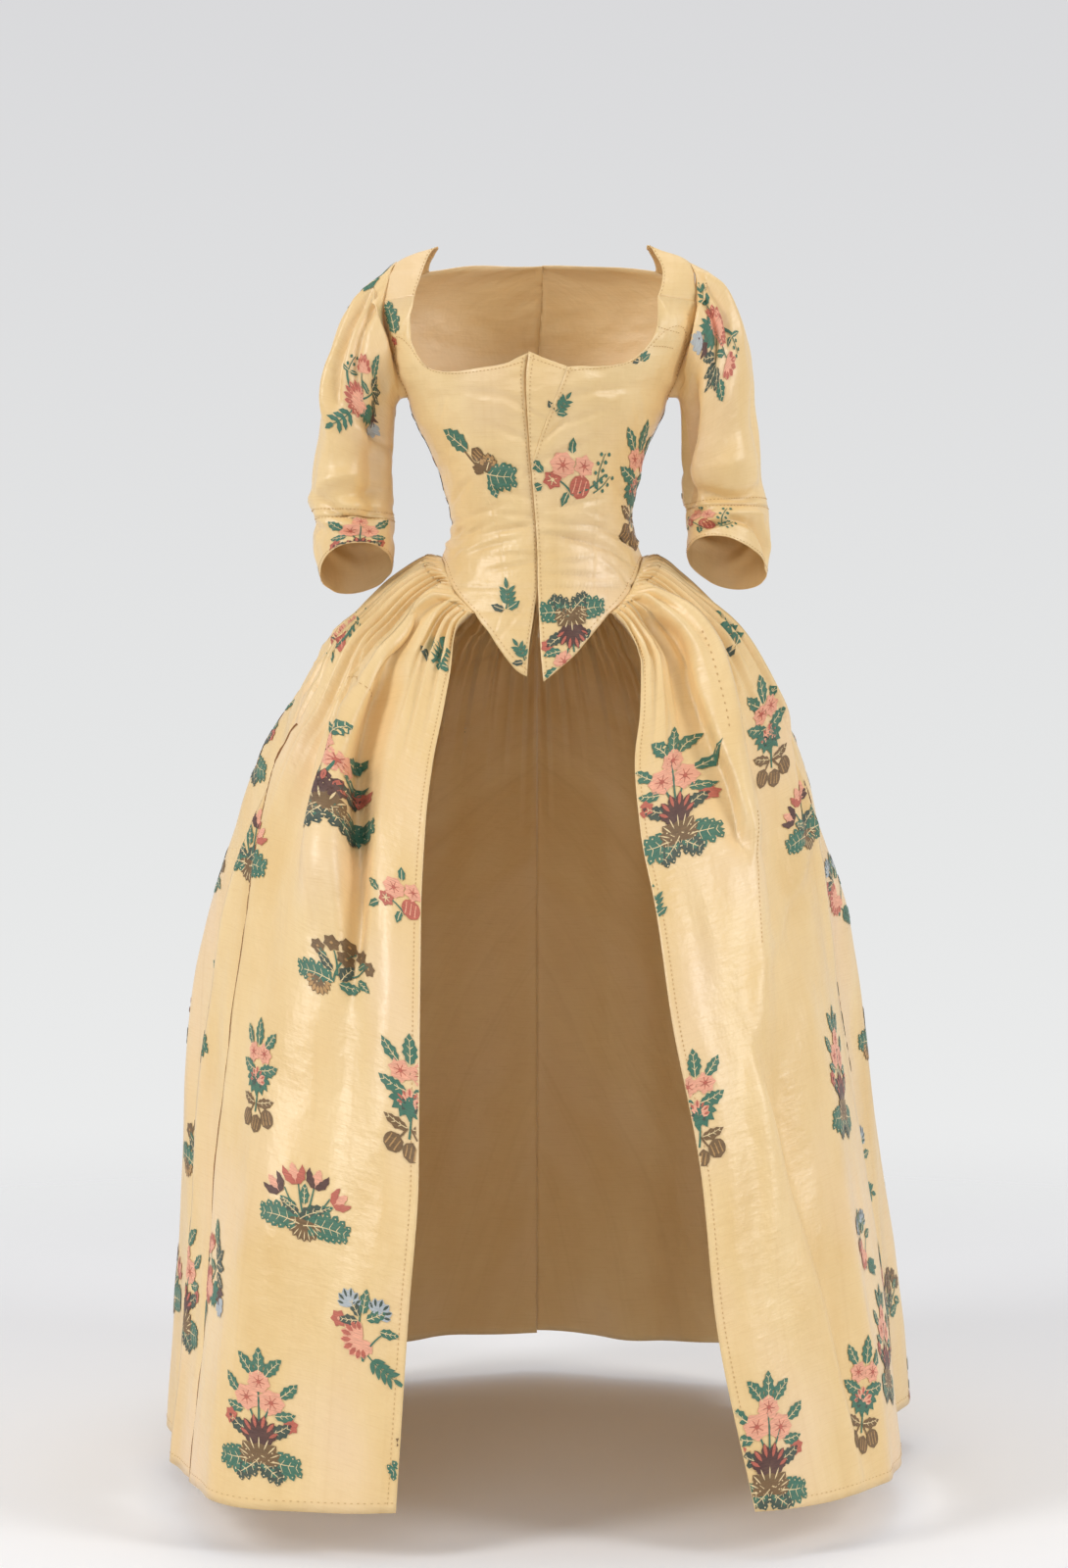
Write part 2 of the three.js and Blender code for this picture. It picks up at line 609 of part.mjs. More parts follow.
// ---- skirt -------------------------------------------------------------------------------------------
// Half of a ring in plan, from the front edge round to the centre back, as points and outward normals.
function halfRing(side, row, shares) {
  const half = row[nameOf(side)];
  const edge = side === RIGHT ? row.edgeRight : row.edgeLeft;
  const start = Math.asin((Math.abs(edge - row.middleX) / half) ** (row.square / 2));
  const plan = steps(180, start, Math.PI).map((t) => {
    const power = 2 / (Math.cos(t) > 0 ? row.square : 2.2);
    const out = half * Math.max(Math.sin(t), 0) ** power;
    const fore = Math.abs(Math.cos(t)) ** power;
    const depth = Math.cos(t) > 0 ? -(row.front + row.middleY) : row.back - row.middleY;
    return new THREE.Vector2(row.middleX + side * out, row.middleY + depth * fore);
  });
  const lengths = [0];
  plan.slice(1).forEach((p, i) => lengths.push(lengths[i] + p.distanceTo(plan[i])));
  return shares.map((share) => {
    const target = share * lengths[lengths.length - 1];
    const i = Math.min(Math.max(lengths.findIndex((l) => l >= target), 1), plan.length - 1);
    const t = (target - lengths[i - 1]) / (lengths[i] - lengths[i - 1]);
    const point = plan[i - 1].clone().lerp(plan[i], t);
    const along = plan[i].clone().sub(plan[i - 1]).normalize();
    return { point, normal: new THREE.Vector2(side * along.y, -side * along.x).negate() };
  });
}

const fade = (distance) => THREE.MathUtils.smoothstep(distance, -FOLD_FADE, 0);

function foldDepth(side, share, height) {
  return FOLDS[nameOf(side)].reduce((sum, fold) => {
    const across = Math.exp(-(((share - fold.share) / fold.width) ** 2));
    return sum + fold.depth * across * fade(fold.top - height) * fade(height - fold.bottom);
  }, 0);
}

function skirtGrid(side) {
  const count = SKIRT_PANELS.back[1];
  const shares = steps(count, 0, 1);
  const turns = shares.map((_, j) => (allStations[Math.floor(j / 2)] + allStations[Math.ceil(j / 2)]) / 2);
  const seam = allStations.map((turn) => torsoPoint([side * turn, seamHeight(turn)]));
  const top = turns.map((_, j) => {
    const middle = seam[Math.floor(j / 2)].clone().add(seam[Math.ceil(j / 2)]).multiplyScalar(0.5);
    return middle.add(new THREE.Vector3(0, 0, -SEAM_GAP));
  });
  const below = SKIRT.slice(1).map((row) => halfRing(side, row, shares).map(({ point, normal }, j) => {
    const height = row.level + row.follow * (seamHeight(turns[j]) - SEAM_LEVEL);
    const pleat = j % 2 ? row.pleat : -row.pleat;
    const out = pleat + foldDepth(side, shares[j], height);
    return new THREE.Vector3(point.x + normal.x * out, point.y + normal.y * out, height);
  }));
  return [top, ...below];
}

// Outward normals of half the skirt; on the centre back line they face straight back.
function gridNormals(grid, side) {
  const rows = grid.length;
  const columns = grid[0].length;
  return grid.map((row, i) => row.map((_, j) => {
    const down = grid[Math.min(i + 1, rows - 1)][j].clone().sub(grid[Math.max(i - 1, 0)][j]);
    const around = row[Math.min(j + 1, columns - 1)].clone().sub(row[Math.max(j - 1, 0)]);
    const normal = down.cross(around).multiplyScalar(side);
    return (j === columns - 1 ? normal.setX(0) : normal).normalize();
  }));
}

function skirt(side) {
  const grid = skirtGrid(side);
  const normals = gridNormals(grid, side);
  return Object.entries(SKIRT_PANELS).map(([panel, [from, to]]) => {
    const cut = (rows) => rows.map((row) => row.slice(from, to + 1));
    return clothWall(`skirt_${panel}_${nameOf(side)}`, drawIn(cut(grid)), cut(normals));
  });
}

// ---- the gown ----------------------------------------------------------------------------------------
const group = new THREE.Group();
for (const side of [RIGHT, LEFT]) {
  const where = nameOf(side);
  group.add(bodicePiece(`front_${where}`, frontPlaces(side)));
  group.add(bodicePiece(`side_${where}`, sidePlaces(side)));
  group.add(bodicePiece(`back_${where}`, backPlaces(side)));
  group.add(bodicePiece(`strap_${where}`, strapPlaces(side)));
  group.add(...sleeve(side));
  group.add(...skirt(side));
}
group.add(bodicePiece('front_left_wedge', wedgePlaces()));
group.position.z = -HOLD_HEIGHT;

export default group;
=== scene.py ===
import math

import bpy
import numpy as np
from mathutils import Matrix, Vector


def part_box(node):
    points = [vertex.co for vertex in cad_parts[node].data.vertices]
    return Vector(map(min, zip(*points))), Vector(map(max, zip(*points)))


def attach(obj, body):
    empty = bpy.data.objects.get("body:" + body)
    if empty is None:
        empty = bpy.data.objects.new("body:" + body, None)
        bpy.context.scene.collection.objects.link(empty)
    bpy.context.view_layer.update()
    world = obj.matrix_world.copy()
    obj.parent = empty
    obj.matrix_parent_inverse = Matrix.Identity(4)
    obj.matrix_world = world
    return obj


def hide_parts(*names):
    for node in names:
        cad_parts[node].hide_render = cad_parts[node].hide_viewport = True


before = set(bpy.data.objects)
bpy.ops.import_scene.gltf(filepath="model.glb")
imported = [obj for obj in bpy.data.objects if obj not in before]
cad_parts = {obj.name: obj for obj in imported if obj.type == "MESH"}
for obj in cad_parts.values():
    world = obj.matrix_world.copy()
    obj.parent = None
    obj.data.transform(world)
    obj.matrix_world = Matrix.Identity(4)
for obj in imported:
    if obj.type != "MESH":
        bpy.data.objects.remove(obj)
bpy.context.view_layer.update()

# A robe à l'anglaise in brocaded silk, worn. Sizes are in millimetres and heights are measured up from
# the hem, as a maker would take them; to_row() turns them into the metres of the row frame.

# ---- camera, floor and light ----
MM = 0.001
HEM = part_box("skirt_front_right")[0][2]        # the hem's height in the row frame, metres
FLOOR_BELOW_HEM = 0.05
CAMERA_DISTANCE = 4.5
CAMERA_HEIGHT = 0.938                          # above the hem
CAMERA_TILT = 2.8                              # degrees down
CAMERA_TURN = 0.042                            # degrees to the left
LENS = 92.5                                    # millimetres, on a sensor 36 mm wide
LIGHT_AIM = 1.0                                # the height above the hem that the lights face
FLOOR_RINGS = (1.5, 3.0, 6.0, 12.0)            # radii of the floor's rings of faces, metres
FLOOR_SPOKES = 48


def linear(hex_colour):
    """An sRGB hex colour as linear red, green, blue and a full alpha."""
    channels = [int(hex_colour[i:i + 2], 16) / 255 for i in (1, 3, 5)]
    return tuple(c / 12.92 if c <= 0.04045 else ((c + 0.055) / 1.055) ** 2.4 for c in channels) + (1.0,)


def add(tree, kind, settings=(), inputs=()):
    """Adds a node: settings are its properties, inputs its sockets, each a value or a socket to link."""
    node = tree.nodes.new(kind)
    for name, value in dict(settings).items():
        setattr(node, name, value)
    for key, value in dict(inputs).items():
        if isinstance(value, bpy.types.NodeSocket):
            tree.links.new(value, node.inputs[key])
        else:
            node.inputs[key].default_value = value
    return node


def new_material(name):
    """An empty material and its node tree."""
    material = bpy.data.materials.new(name)
    material.use_nodes = True
    material.node_tree.nodes.clear()
    return material, material.node_tree


def place_in_scene(made):
    bpy.context.scene.collection.objects.link(made)
    return made


def make_camera():
    data = bpy.data.cameras.new("camera")
    data.lens = LENS
    data.sensor_width = 36
    data.clip_end = 100
    camera = bpy.data.objects.new("camera", data)
    camera.location = (0, -CAMERA_DISTANCE, HEM + CAMERA_HEIGHT)
    camera.rotation_euler = (math.radians(90 - CAMERA_TILT), 0, math.radians(CAMERA_TURN))
    bpy.context.scene.camera = place_in_scene(camera)


def soft_box(name, place, size, watts):
    """A broad oval white light that faces the gown just above its waist."""
    data = bpy.data.lights.new(name, "AREA")
    data.shape = "ELLIPSE"
    data.size, data.size_y = size
    data.energy = watts
    light = bpy.data.objects.new(name, data)
    light.location = place
    aim = Vector((0, 0, HEM + LIGHT_AIM)) - Vector(place)
    light.rotation_euler = aim.to_track_quat("-Z", "Y").to_euler()
    place_in_scene(light)


def make_surround():
    """A pale grey surround, lightest low down, which lights less from the front than from behind."""
    world = bpy.data.worlds.new("studio")
    bpy.context.scene.world = world
    world.use_nodes = True
    tree = world.node_tree
    tree.nodes.clear()
    place = add(tree, "ShaderNodeTexCoord")
    split = add(tree, "ShaderNodeSeparateXYZ", inputs={0: place.outputs["Generated"]})
    rise = add(tree, "ShaderNodeMapRange",
               inputs={"Value": split.outputs["Z"], "From Min": -0.25, "From Max": 0.17})
    ramp = add(tree, "ShaderNodeValToRGB", inputs={0: rise.outputs[0]})
    ramp.color_ramp.elements[0].color = linear("#F2F2F2")
    ramp.color_ramp.elements[1].color = linear("#D8D8DA")
    ramp.color_ramp.elements.new(0.45).color = linear("#E6E7E7")
    depth = add(tree, "ShaderNodeMapRange", {"interpolation_type": "SMOOTHSTEP"},
                {"Value": split.outputs["Y"], "From Min": -0.9, "From Max": 0.35,
                 "To Min": 0.4, "To Max": 1.0})
    glow = add(tree, "ShaderNodeBackground", inputs={"Color": ramp.outputs[0], "Strength": depth.outputs[0]})
    add(tree, "ShaderNodeOutputWorld", inputs={"Surface": glow.outputs[0]})


def make_floor():
    """A round floor in matt white paint, which fades into the surround away from the gown."""
    points = [(0, 0)]
    faces = []
    for ring, radius in enumerate(FLOOR_RINGS):
        outer = 1 + ring * FLOOR_SPOKES
        inner = outer - FLOOR_SPOKES
        for spoke in range(FLOOR_SPOKES):
            angle = 2 * math.pi * spoke / FLOOR_SPOKES
            points.append((radius * math.cos(angle), radius * math.sin(angle)))
            after = (spoke + 1) % FLOOR_SPOKES
            if ring == 0:
                faces.append((0, outer + spoke, outer + after))
            else:
                faces.append((inner + spoke, outer + spoke, outer + after, inner + after))
    mesh = bpy.data.meshes.new("floor")
    mesh.from_pydata([(x, y, HEM - FLOOR_BELOW_HEM) for x, y in points], [], faces)
    floor = place_in_scene(bpy.data.objects.new("floor", mesh))
    material, tree = new_material("painted_floor")
    place = add(tree, "ShaderNodeTexCoord")
    flat = add(tree, "ShaderNodeVectorMath", {"operation": "MULTIPLY"},
               {0: place.outputs["Object"], 1: (1, 1, 0)})
    far = add(tree, "ShaderNodeVectorMath", {"operation": "LENGTH"}, {0: flat.outputs[0]})
    fade = add(tree, "ShaderNodeMapRange", {"interpolation_type": "SMOOTHSTEP"},
               {"Value": far.outputs["Value"], "From Min": 0.9, "From Max": 3.0})
    paint = add(tree, "ShaderNodeBsdfPrincipled", inputs={"Base Color": linear("#F3F3F4"), "Roughness": 0.7})
    clear = add(tree, "ShaderNodeBsdfTransparent")
    mix = add(tree, "ShaderNodeMixShader",
              inputs={0: fade.outputs[0], 1: paint.outputs[0], 2: clear.outputs[0]})
    add(tree, "ShaderNodeOutputMaterial", inputs={"Surface": mix.outputs[0]})
    mesh.materials.append(material)


make_camera()
make_surround()
soft_box("key", (-3.6, -2.6, 1.9), (1.7, 2.4), 106)
soft_box("fill", (3.8, -2.4, 1.4), (1.7, 2.2), 80)
soft_box("front", (-0.4, -4.9, 1.0), (2.6, 1.6), 30)
soft_box("top", (0.3, 0.4, 3.4), (2.4, 2.4), 20)
make_floor()
bpy.context.scene.view_settings.view_transform = "Standard"

# ---- tables ----


def table(columns, *rows):
    """A short table with named columns, as one array for each column."""
    return {name: np.array([row[i] for row in rows], float) for i, name in enumerate(columns.split())}


RIGHT, LEFT = -1, 1
SIDES = {RIGHT: "right", LEFT: "left"}
CLOTH = 0.7                    # thickness of the doubled silk edge that shows
SKIRT_START = 31               # turn from centre front at which the skirt begins, degrees
SIDE_SEAM = 86                 # and at which the seams of the bodice meet the waist
BACK_SEAM = 121
UNDERARM = 1149
BODY_MIDDLE = 15               # how far behind the frame's origin the middle of the body lies
SEAM_LEVEL = 970               # height of the waist seam at the sides, from which it dips
FOLD_FADE = 170                # length over which the largest folds die away
CLOSING_TOP = 1192             # height of the right front's upper corner at the closing
STRAP_INSIDE = 8               # the point of a front's upper edge where its strap's inner edge ends
SEAM_GAP = 0.6                 # the sleeve starts this far outside the armhole
FINE = 8                       # columns of cloth in each strip of a piece
STRIPS = {"front": 8, "side": 4, "back": 7}    # strips along the waist seam of each piece of the bodice
SKIRT_STRIPS = 38              # strips from the skirt's front edge to the centre back
SKIRT_ROWS = 140
BODICE_ROWS = 100
CAP_ROWS, SLEEVE_ROWS, ELBOW_ROWS = 12, 84, 33

# Sections of the body in the bodice: height, middle, half width, depth in front and depth behind.
TORSO = table(
    "height middle half front back",
    (820, 4, 192, 143, 160), (880, 5, 160, 127, 138), (920, 6, 138, 114, 122), (950, 6, 122, 104, 111),
    (975, 6, 110, 98, 104), (997, 6, 102, 95, 101), (1019, 5, 102, 96, 101), (1041, 4, 106, 99, 103),
    (1085, 2, 118, 109, 108), (1129, 1, 138, 121, 114), (1151, 1, 145, 125, 117), (1172, 1, 157, 124, 118),
    (1200, 2, 168, 114, 118), (1230, 3, 179, 95, 115), (1260, 5, 184, 70, 106), (1280, 6, 180, 47, 94),
    (1292, 6, 171, 33, 84), (1302, 6, 157, 22, 71), (1312, 6, 132, 11, 50), (1322, 6, 98, 4, 20),
)
WAIST_SEAM = table(
    "turn height",
    (31, 910), (45, 930), (60, 952), (75, 966), (90, 971), (110, 969), (130, 959), (150, 944), (168, 926),
    (180, 918),
)
# How far across each front's closing edge lies.
CENTRE_LINE = table(
    "height right left",
    (835, -11, 7), (868, -9, 4), (912, -3, 2), (940, 1, 1), (985, 0, 0), (1039, -4, -4), (1104, -9, -9),
    (1162, -12, -12), (1192, -9, -9),
)
# Points on the fronts are a distance across and a height. They run from the closing outwards.
POINT_EDGE = {
    RIGHT: [(-11, 841), (-22, 847), (-34, 861), (-44, 875), (-53, 889), (-62, 900)],
    LEFT: [(7, 835), (24, 849), (41, 864), (53, 878), (63, 890), (72, 901)],
}
FRONT_TOP = {
    RIGHT: [(-9, CLOSING_TOP), (-33, 1181), (-60, 1176), (-91, 1172), (-116, 1176), (-128, 1188),
            (-138, 1207), (-139, 1226), (-135, 1258), (-152, 1256), (-169, 1253), (-169, 1226), (-158, 1190),
            (-148, 1162)],
    LEFT: [(33, 1176), (48, 1177), (64, 1177), (85, 1179), (105, 1186), (123, 1204), (131, 1222), (133, 1240),
           (133, 1258), (154, 1256), (176, 1253), (173, 1226), (162, 1190), (151, 1162)],
}
WEDGE_SEAM = [(33, 1176), (24, 1152), (13, 1125), (3, 1098), (-6, 1070)]
# Points on the straps are a turn from centre front and a height. They run from front to back.
STRAP_INNER = [(47, 1258), (49, 1286), (58, 1306), (82, 1316), (108, 1315), (124, 1306), (132, 1292)]
STRAP_OUTER = [(68, 1253), (70, 1277), (76, 1292), (86, 1299), (96, 1297), (106, 1285), (111, 1267)]
# Points on the back are a distance from its middle and a height.
ARMHOLE_BACK = [(148, 1168), (165, 1208), (172, 1244)]
BACK_NECK = [(74, 1299), (0, 1300)]

# Rings of the sleeve: outermost and innermost point on each side, half depth, lean back, rise in front.
SLEEVE = table(
    "right right_up left left_up right_in right_in_up left_in left_in_up deep lean rise",
    (184, 1281, 190, 1290, 152, 1146, 156, 1147, 47, 1, 0),
    (204, 1258, 206, 1276, 155, 1142, 158, 1143, 51, 1, 0),
    (219, 1232, 219, 1256, 157, 1137, 159, 1138, 54, 2, 0),
    (230, 1204, 229, 1228, 158, 1128, 160, 1130, 56, 3, 0),
    (238, 1172, 237, 1192, 159, 1112, 160, 1114, 56, 5, 0),
    (243, 1125, 244, 1135, 160, 1084, 160, 1085, 55, 7, 0),
    (248, 1070, 252, 1080, 160, 1049, 161, 1054, 53, 8, 2),
    (251, 1013, 256, 1027, 160, 1012, 165, 1024, 52, 6, 4),
)
ELBOW = table(
    "right right_up left left_up right_in right_in_up left_in left_in_up deep lean rise",
    (251, 1013, 256, 1027, 160, 1012, 165, 1024, 52, 6, 4),
    (251, 985, 257, 988, 160, 992, 166, 1003, 52, 3, 13),
    (244, 952, 255, 954, 163, 966, 168, 976, 54, 0, 28),
)
# Rings of the skirt: length down from the waist, height, how far it follows the waist seam's dip, middle
# in plan, reach to each side, to the front and to the back, squareness in front, and the front edges.
SKIRT = table(
    "fall level follow middle_x middle_y right left front back square edge_right edge_left",
    (0, 970, 1, 6, 0, 112, 112, 104, 110, 2.1, -68, 78),
    (22, 966, 1, 6, 2, 130, 130, 131, 136, 2.1, -76, 86),
    (60, 949, 0.95, 4, 6, 158, 158, 138, 174, 2.15, -88, 99),
    (108, 917, 0.78, 2, 12, 194, 196, 149, 220, 2.2, -92, 110),
    (155, 884, 0.5, 0, 18, 229, 228, 163, 261, 2.25, -93, 113),
    (228, 821, 0.22, 0, 24, 264, 265, 191, 315, 2.35, -100, 111),
    (306, 752, 0.06, 0, 30, 294, 295, 229, 358, 2.45, -111, 104),
    (388, 680, 0, 0, 36, 319, 314, 276, 392, 2.6, -118, 109),
    (474, 601, 0, 0, 42, 343, 323, 317, 422, 2.75, -121, 124),
    (586, 491, 0, 0, 48, 362, 338, 361, 450, 2.9, -121, 139),
    (738, 340, 0, 0, 54, 376, 359, 405, 478, 3.05, -121, 168),
    (889, 190, 0, 0, 58, 383, 381, 438, 500, 3.3, -131, 183),
    (1080, 0, 0, 0, 60, 397, 400, 462, 522, 3.7, -143, 222),
)
# The largest folds, as in the solids. A fold's share is its place from the front edge to the centre back.
FOLDS = {
    RIGHT: table(
        "share width depth top bottom",
        (0.06, 0.03, 7, 860, 500), (0.115, 0.026, -24, 900, 690), (0.185, 0.035, 13, 880, 560),
        (0.12, 0.05, -22, 260, -200), (0.289, 0.016, -9, 640, -200), (0.34, 0.03, 9, 700, -200),
        (0.43, 0.045, -20, 720, -200), (0.52, 0.04, 18, 700, -200), (0.61, 0.035, -22, 760, -200),
        (0.7, 0.04, 20, 700, -200), (0.79, 0.035, -26, 780, -200), (0.88, 0.04, 18, 660, -200),
        (1, 0.035, -18, 760, -200),
    ),
    LEFT: table(
        "share width depth top bottom",
        (0.07, 0.03, 6, 860, 640), (0.125, 0.026, -27, 880, 770), (0.19, 0.03, 12, 860, 640),
        (0.289, 0.016, -7, 820, 600), (0.37, 0.035, 12, 480, -200), (0.49, 0.05, -30, 560, -200),
        (0.655, 0.07, 62, 380, -200), (0.765, 0.03, -26, 700, -200), (0.84, 0.03, 16, 640, -200),
        (0.91, 0.03, 12, 660, -200), (1, 0.035, -18, 760, -200),
    ),
}
# The first and last strip of each panel of half the skirt.
PANELS = {"front": (0, 11), "side": (11, 24), "back": (24, SKIRT_STRIPS)}


def rows_at(rows, key, at):
    """Rows between the rows of a table: a smooth curve through each column that never overshoots."""
    keys = rows[key]
    at = np.clip(np.asarray(at, float), keys[0], keys[-1])
    i = np.clip(np.searchsorted(keys, at, side="right") - 1, 0, len(keys) - 2)
    span = keys[i + 1] - keys[i]
    t = (at - keys[i]) / span
    found = {}
    for name, values in rows.items():
        rise = np.diff(values) / np.diff(keys)
        slope = np.concatenate([rise[:1], np.zeros(len(values) - 2), rise[-1:]])
        before, after = rise[:-1], rise[1:]
        same = before * after > 0
        slope[1:-1] = np.where(same, 2 * before * after / np.where(same, before + after, 1), 0)
        ease = (3 - 2 * t) * t * t
        bend = (t - 1) * t * span * ((t - 1) * slope[i] + t * slope[i + 1])
        found[name] = values[i] + (values[i + 1] - values[i]) * ease + bend
    return found


def smooth(points, at, corners=()):
    """A smooth curve through points, at fractions of their count; it may turn sharply at the corners."""
    points = np.asarray(points, float)
    last = len(points) - 1
    step = np.diff(points, axis=0)
    arriving = np.concatenate([step[:1], (step[:-1] + step[1:]) / 2, step[-1:]])
    leaving = arriving.copy()
    for c in corners:
        arriving[c], leaving[c] = step[c - 1], step[c]
    at = np.asarray(at, float)
    i = np.clip(np.floor(at).astype(int), 0, last - 1)
    t = (at - i).reshape((-1,) + (1,) * (points.ndim - 1))
    a, b = points[i], points[i + 1]
    return (a * (1 + 2 * t) * (1 - t) ** 2 + b * t * t * (3 - 2 * t)
            + leaving[i] * t * (1 - t) ** 2 - arriving[i + 1] * t * t * (1 - t))


def smooth_step(low, high, value):
    t = np.clip((value - low) / (high - low), 0, 1)
    return t * t * (3 - 2 * t)


def to_row(points):
    """Millimetres with heights above the hem, as metres in the row frame."""
    return np.asarray(points, float) * MM + (0, 0, HEM)


# ---- making cloth ----


def quads(index):
    """The faces between the rows and columns of a grid of point numbers."""
    return np.stack([index[:-1, :-1], index[:-1, 1:], index[1:, 1:], index[1:, :-1]], -1).reshape(-1, 4)


def outward(grid, loop=False):
    """Unit normals of a grid of points that point away from the body, and whether its faces turn round."""
    padded = np.concatenate([grid[:, -1:], grid, grid[:, :1]], axis=1) if loop else grid
    around = np.gradient(padded, axis=1)
    if loop:
        around = around[:, 1:-1]
        centre = grid.mean(axis=1, keepdims=True)
    else:
        level = np.minimum(grid[..., 2], UNDERARM)
        centre = np.stack([np.zeros_like(level), np.full_like(level, BODY_MIDDLE), level], -1)
    normal = np.cross(around, np.gradient(grid, axis=0))
    normal /= np.maximum(np.linalg.norm(normal, axis=-1, keepdims=True), 1e-9)
    turned = (normal * (grid - centre)).sum() < 0
    return (-normal if turned else normal), turned


def lengths(grid, axis):
    """Running length along the rows or columns of a grid."""
    step = np.linalg.norm(np.diff(grid, axis=axis), axis=-1)
    first = np.zeros_like(np.take(step, [0], axis=axis))
    return np.cumsum(np.concatenate([first, step], axis=axis), axis=axis)


def new_object(name, points, faces, materials=(), slots=None, smooth_faces=None):
    """An object of points in millimetres, with a material slot and a smoothness for each face."""
    mesh = bpy.data.meshes.new(name)
    mesh.from_pydata(to_row(points).tolist(), [], np.asarray(faces).tolist())
    for material in materials:
        mesh.materials.append(material)
    if slots is not None:
        mesh.polygons.foreach_set("material_index", slots)
    if smooth_faces is not None:
        mesh.polygons.foreach_set("use_smooth", smooth_faces)
    return place_in_scene(bpy.data.objects.new(name, mesh))


def give_map(mesh, corners):
    """The cloth's own map: metres across and down the piece."""
    layer = mesh.uv_layers.new(name="cloth")
    layer.data.foreach_set("uv", (np.asarray(corners) * MM).ravel())


def make_cloth(name, grid, cloth_map, materials, loop):
    """A thin wall of cloth: the grid outside, the same grid moved in, and the edges between them. The
    first material is the face's, the second the reverse's."""
    rows, columns = grid.shape[:2]
    normal, turned = outward(grid, loop)
    points = np.concatenate([grid.reshape(-1, 3), (grid - normal * CLOTH).reshape(-1, 3)])
    index = np.arange(rows * columns).reshape(rows, columns)
    if loop:
        index = np.concatenate([index, index[:, :1]], axis=1)
    places = np.arange(rows * cloth_map.shape[1]).reshape(rows, -1)

    def edge(outer, inner):
        return np.stack([outer[:-1], inner[:-1], inner[1:], outer[1:]], -1)

    inside = index + rows * columns
    rims = [edge(index[0], inside[0]), edge(index[-1, ::-1], inside[-1, ::-1])]
    rim_places = [edge(places[0], places[0]), edge(places[-1, ::-1], places[-1, ::-1])]
    if not loop:
        rims += [edge(index[::-1, 0], inside[::-1, 0]), edge(index[:, -1], inside[:, -1])]
        rim_places += [edge(places[::-1, 0], places[::-1, 0]), edge(places[:, -1], places[:, -1])]
    faces = np.concatenate([quads(index), quads(inside)[:, ::-1], *rims])
    corners = np.concatenate([quads(places), quads(places)[:, ::-1], *rim_places])
    if turned:
        faces, corners = faces[:, ::-1], corners[:, ::-1]
    wall = len(quads(index))
    slots = np.zeros(len(faces), int)
    slots[wall:2 * wall] = 1
    rounded = np.arange(len(faces)) < 2 * wall
    made = new_object(name, points, faces, materials, slots, rounded)
    give_map(made.data, cloth_map.reshape(-1, 2)[corners])
    return made


def make_sheet(name, grid, cloth_map):
    """The outer face alone, which sprigs and stitches are laid on before the wall is made."""
    rows, columns = cloth_map.shape[:2]
    if columns > grid.shape[1]:
        grid = np.concatenate([grid, grid[:, :1]], axis=1)
    faces = quads(np.arange(rows * columns).reshape(rows, columns))
    turned = outward(grid)[1]
    if turned:
        faces = faces[:, ::-1]
    made = new_object(name, grid.reshape(-1, 3), faces, smooth_faces=np.ones(len(faces), bool))
    give_map(made.data, cloth_map.reshape(-1, 2)[faces])
    return made


# ---- Geometry Nodes ----


def new_tree(name, sockets):
    """An empty Geometry Nodes tree with named inputs; returns it with its input and output nodes."""
    tree = bpy.data.node_groups.new(name, "GeometryNodeTree")
    for title, kind, default in sockets:
        socket = tree.interface.new_socket(title, in_out="INPUT", socket_type=kind)
        if default is not None:
            socket.default_value = default
    tree.interface.new_socket("Geometry", in_out="OUTPUT", socket_type="NodeSocketGeometry")
    return tree, add(tree, "NodeGroupInput"), add(tree, "NodeGroupOutput")


def run_tree(made, tree, values):
    """Runs a tree on an object and gives the object the plain mesh that results."""
    modifier = made.modifiers.new(tree.name, "NODES")
    modifier.node_group = tree
    names = {s.name: s.identifier for s in tree.interface.items_tree if s.in_out == "INPUT"}
    for title, value in values.items():
        modifier[names[title]] = value
    bpy.context.view_layer.update()
    graph = bpy.context.evaluated_depsgraph_get()
    mesh = bpy.data.meshes.new_from_object(made.evaluated_get(graph), preserve_all_data_layers=True,
                                           depsgraph=graph)
    made.modifiers.remove(modifier)
    made.data = mesh
    return made


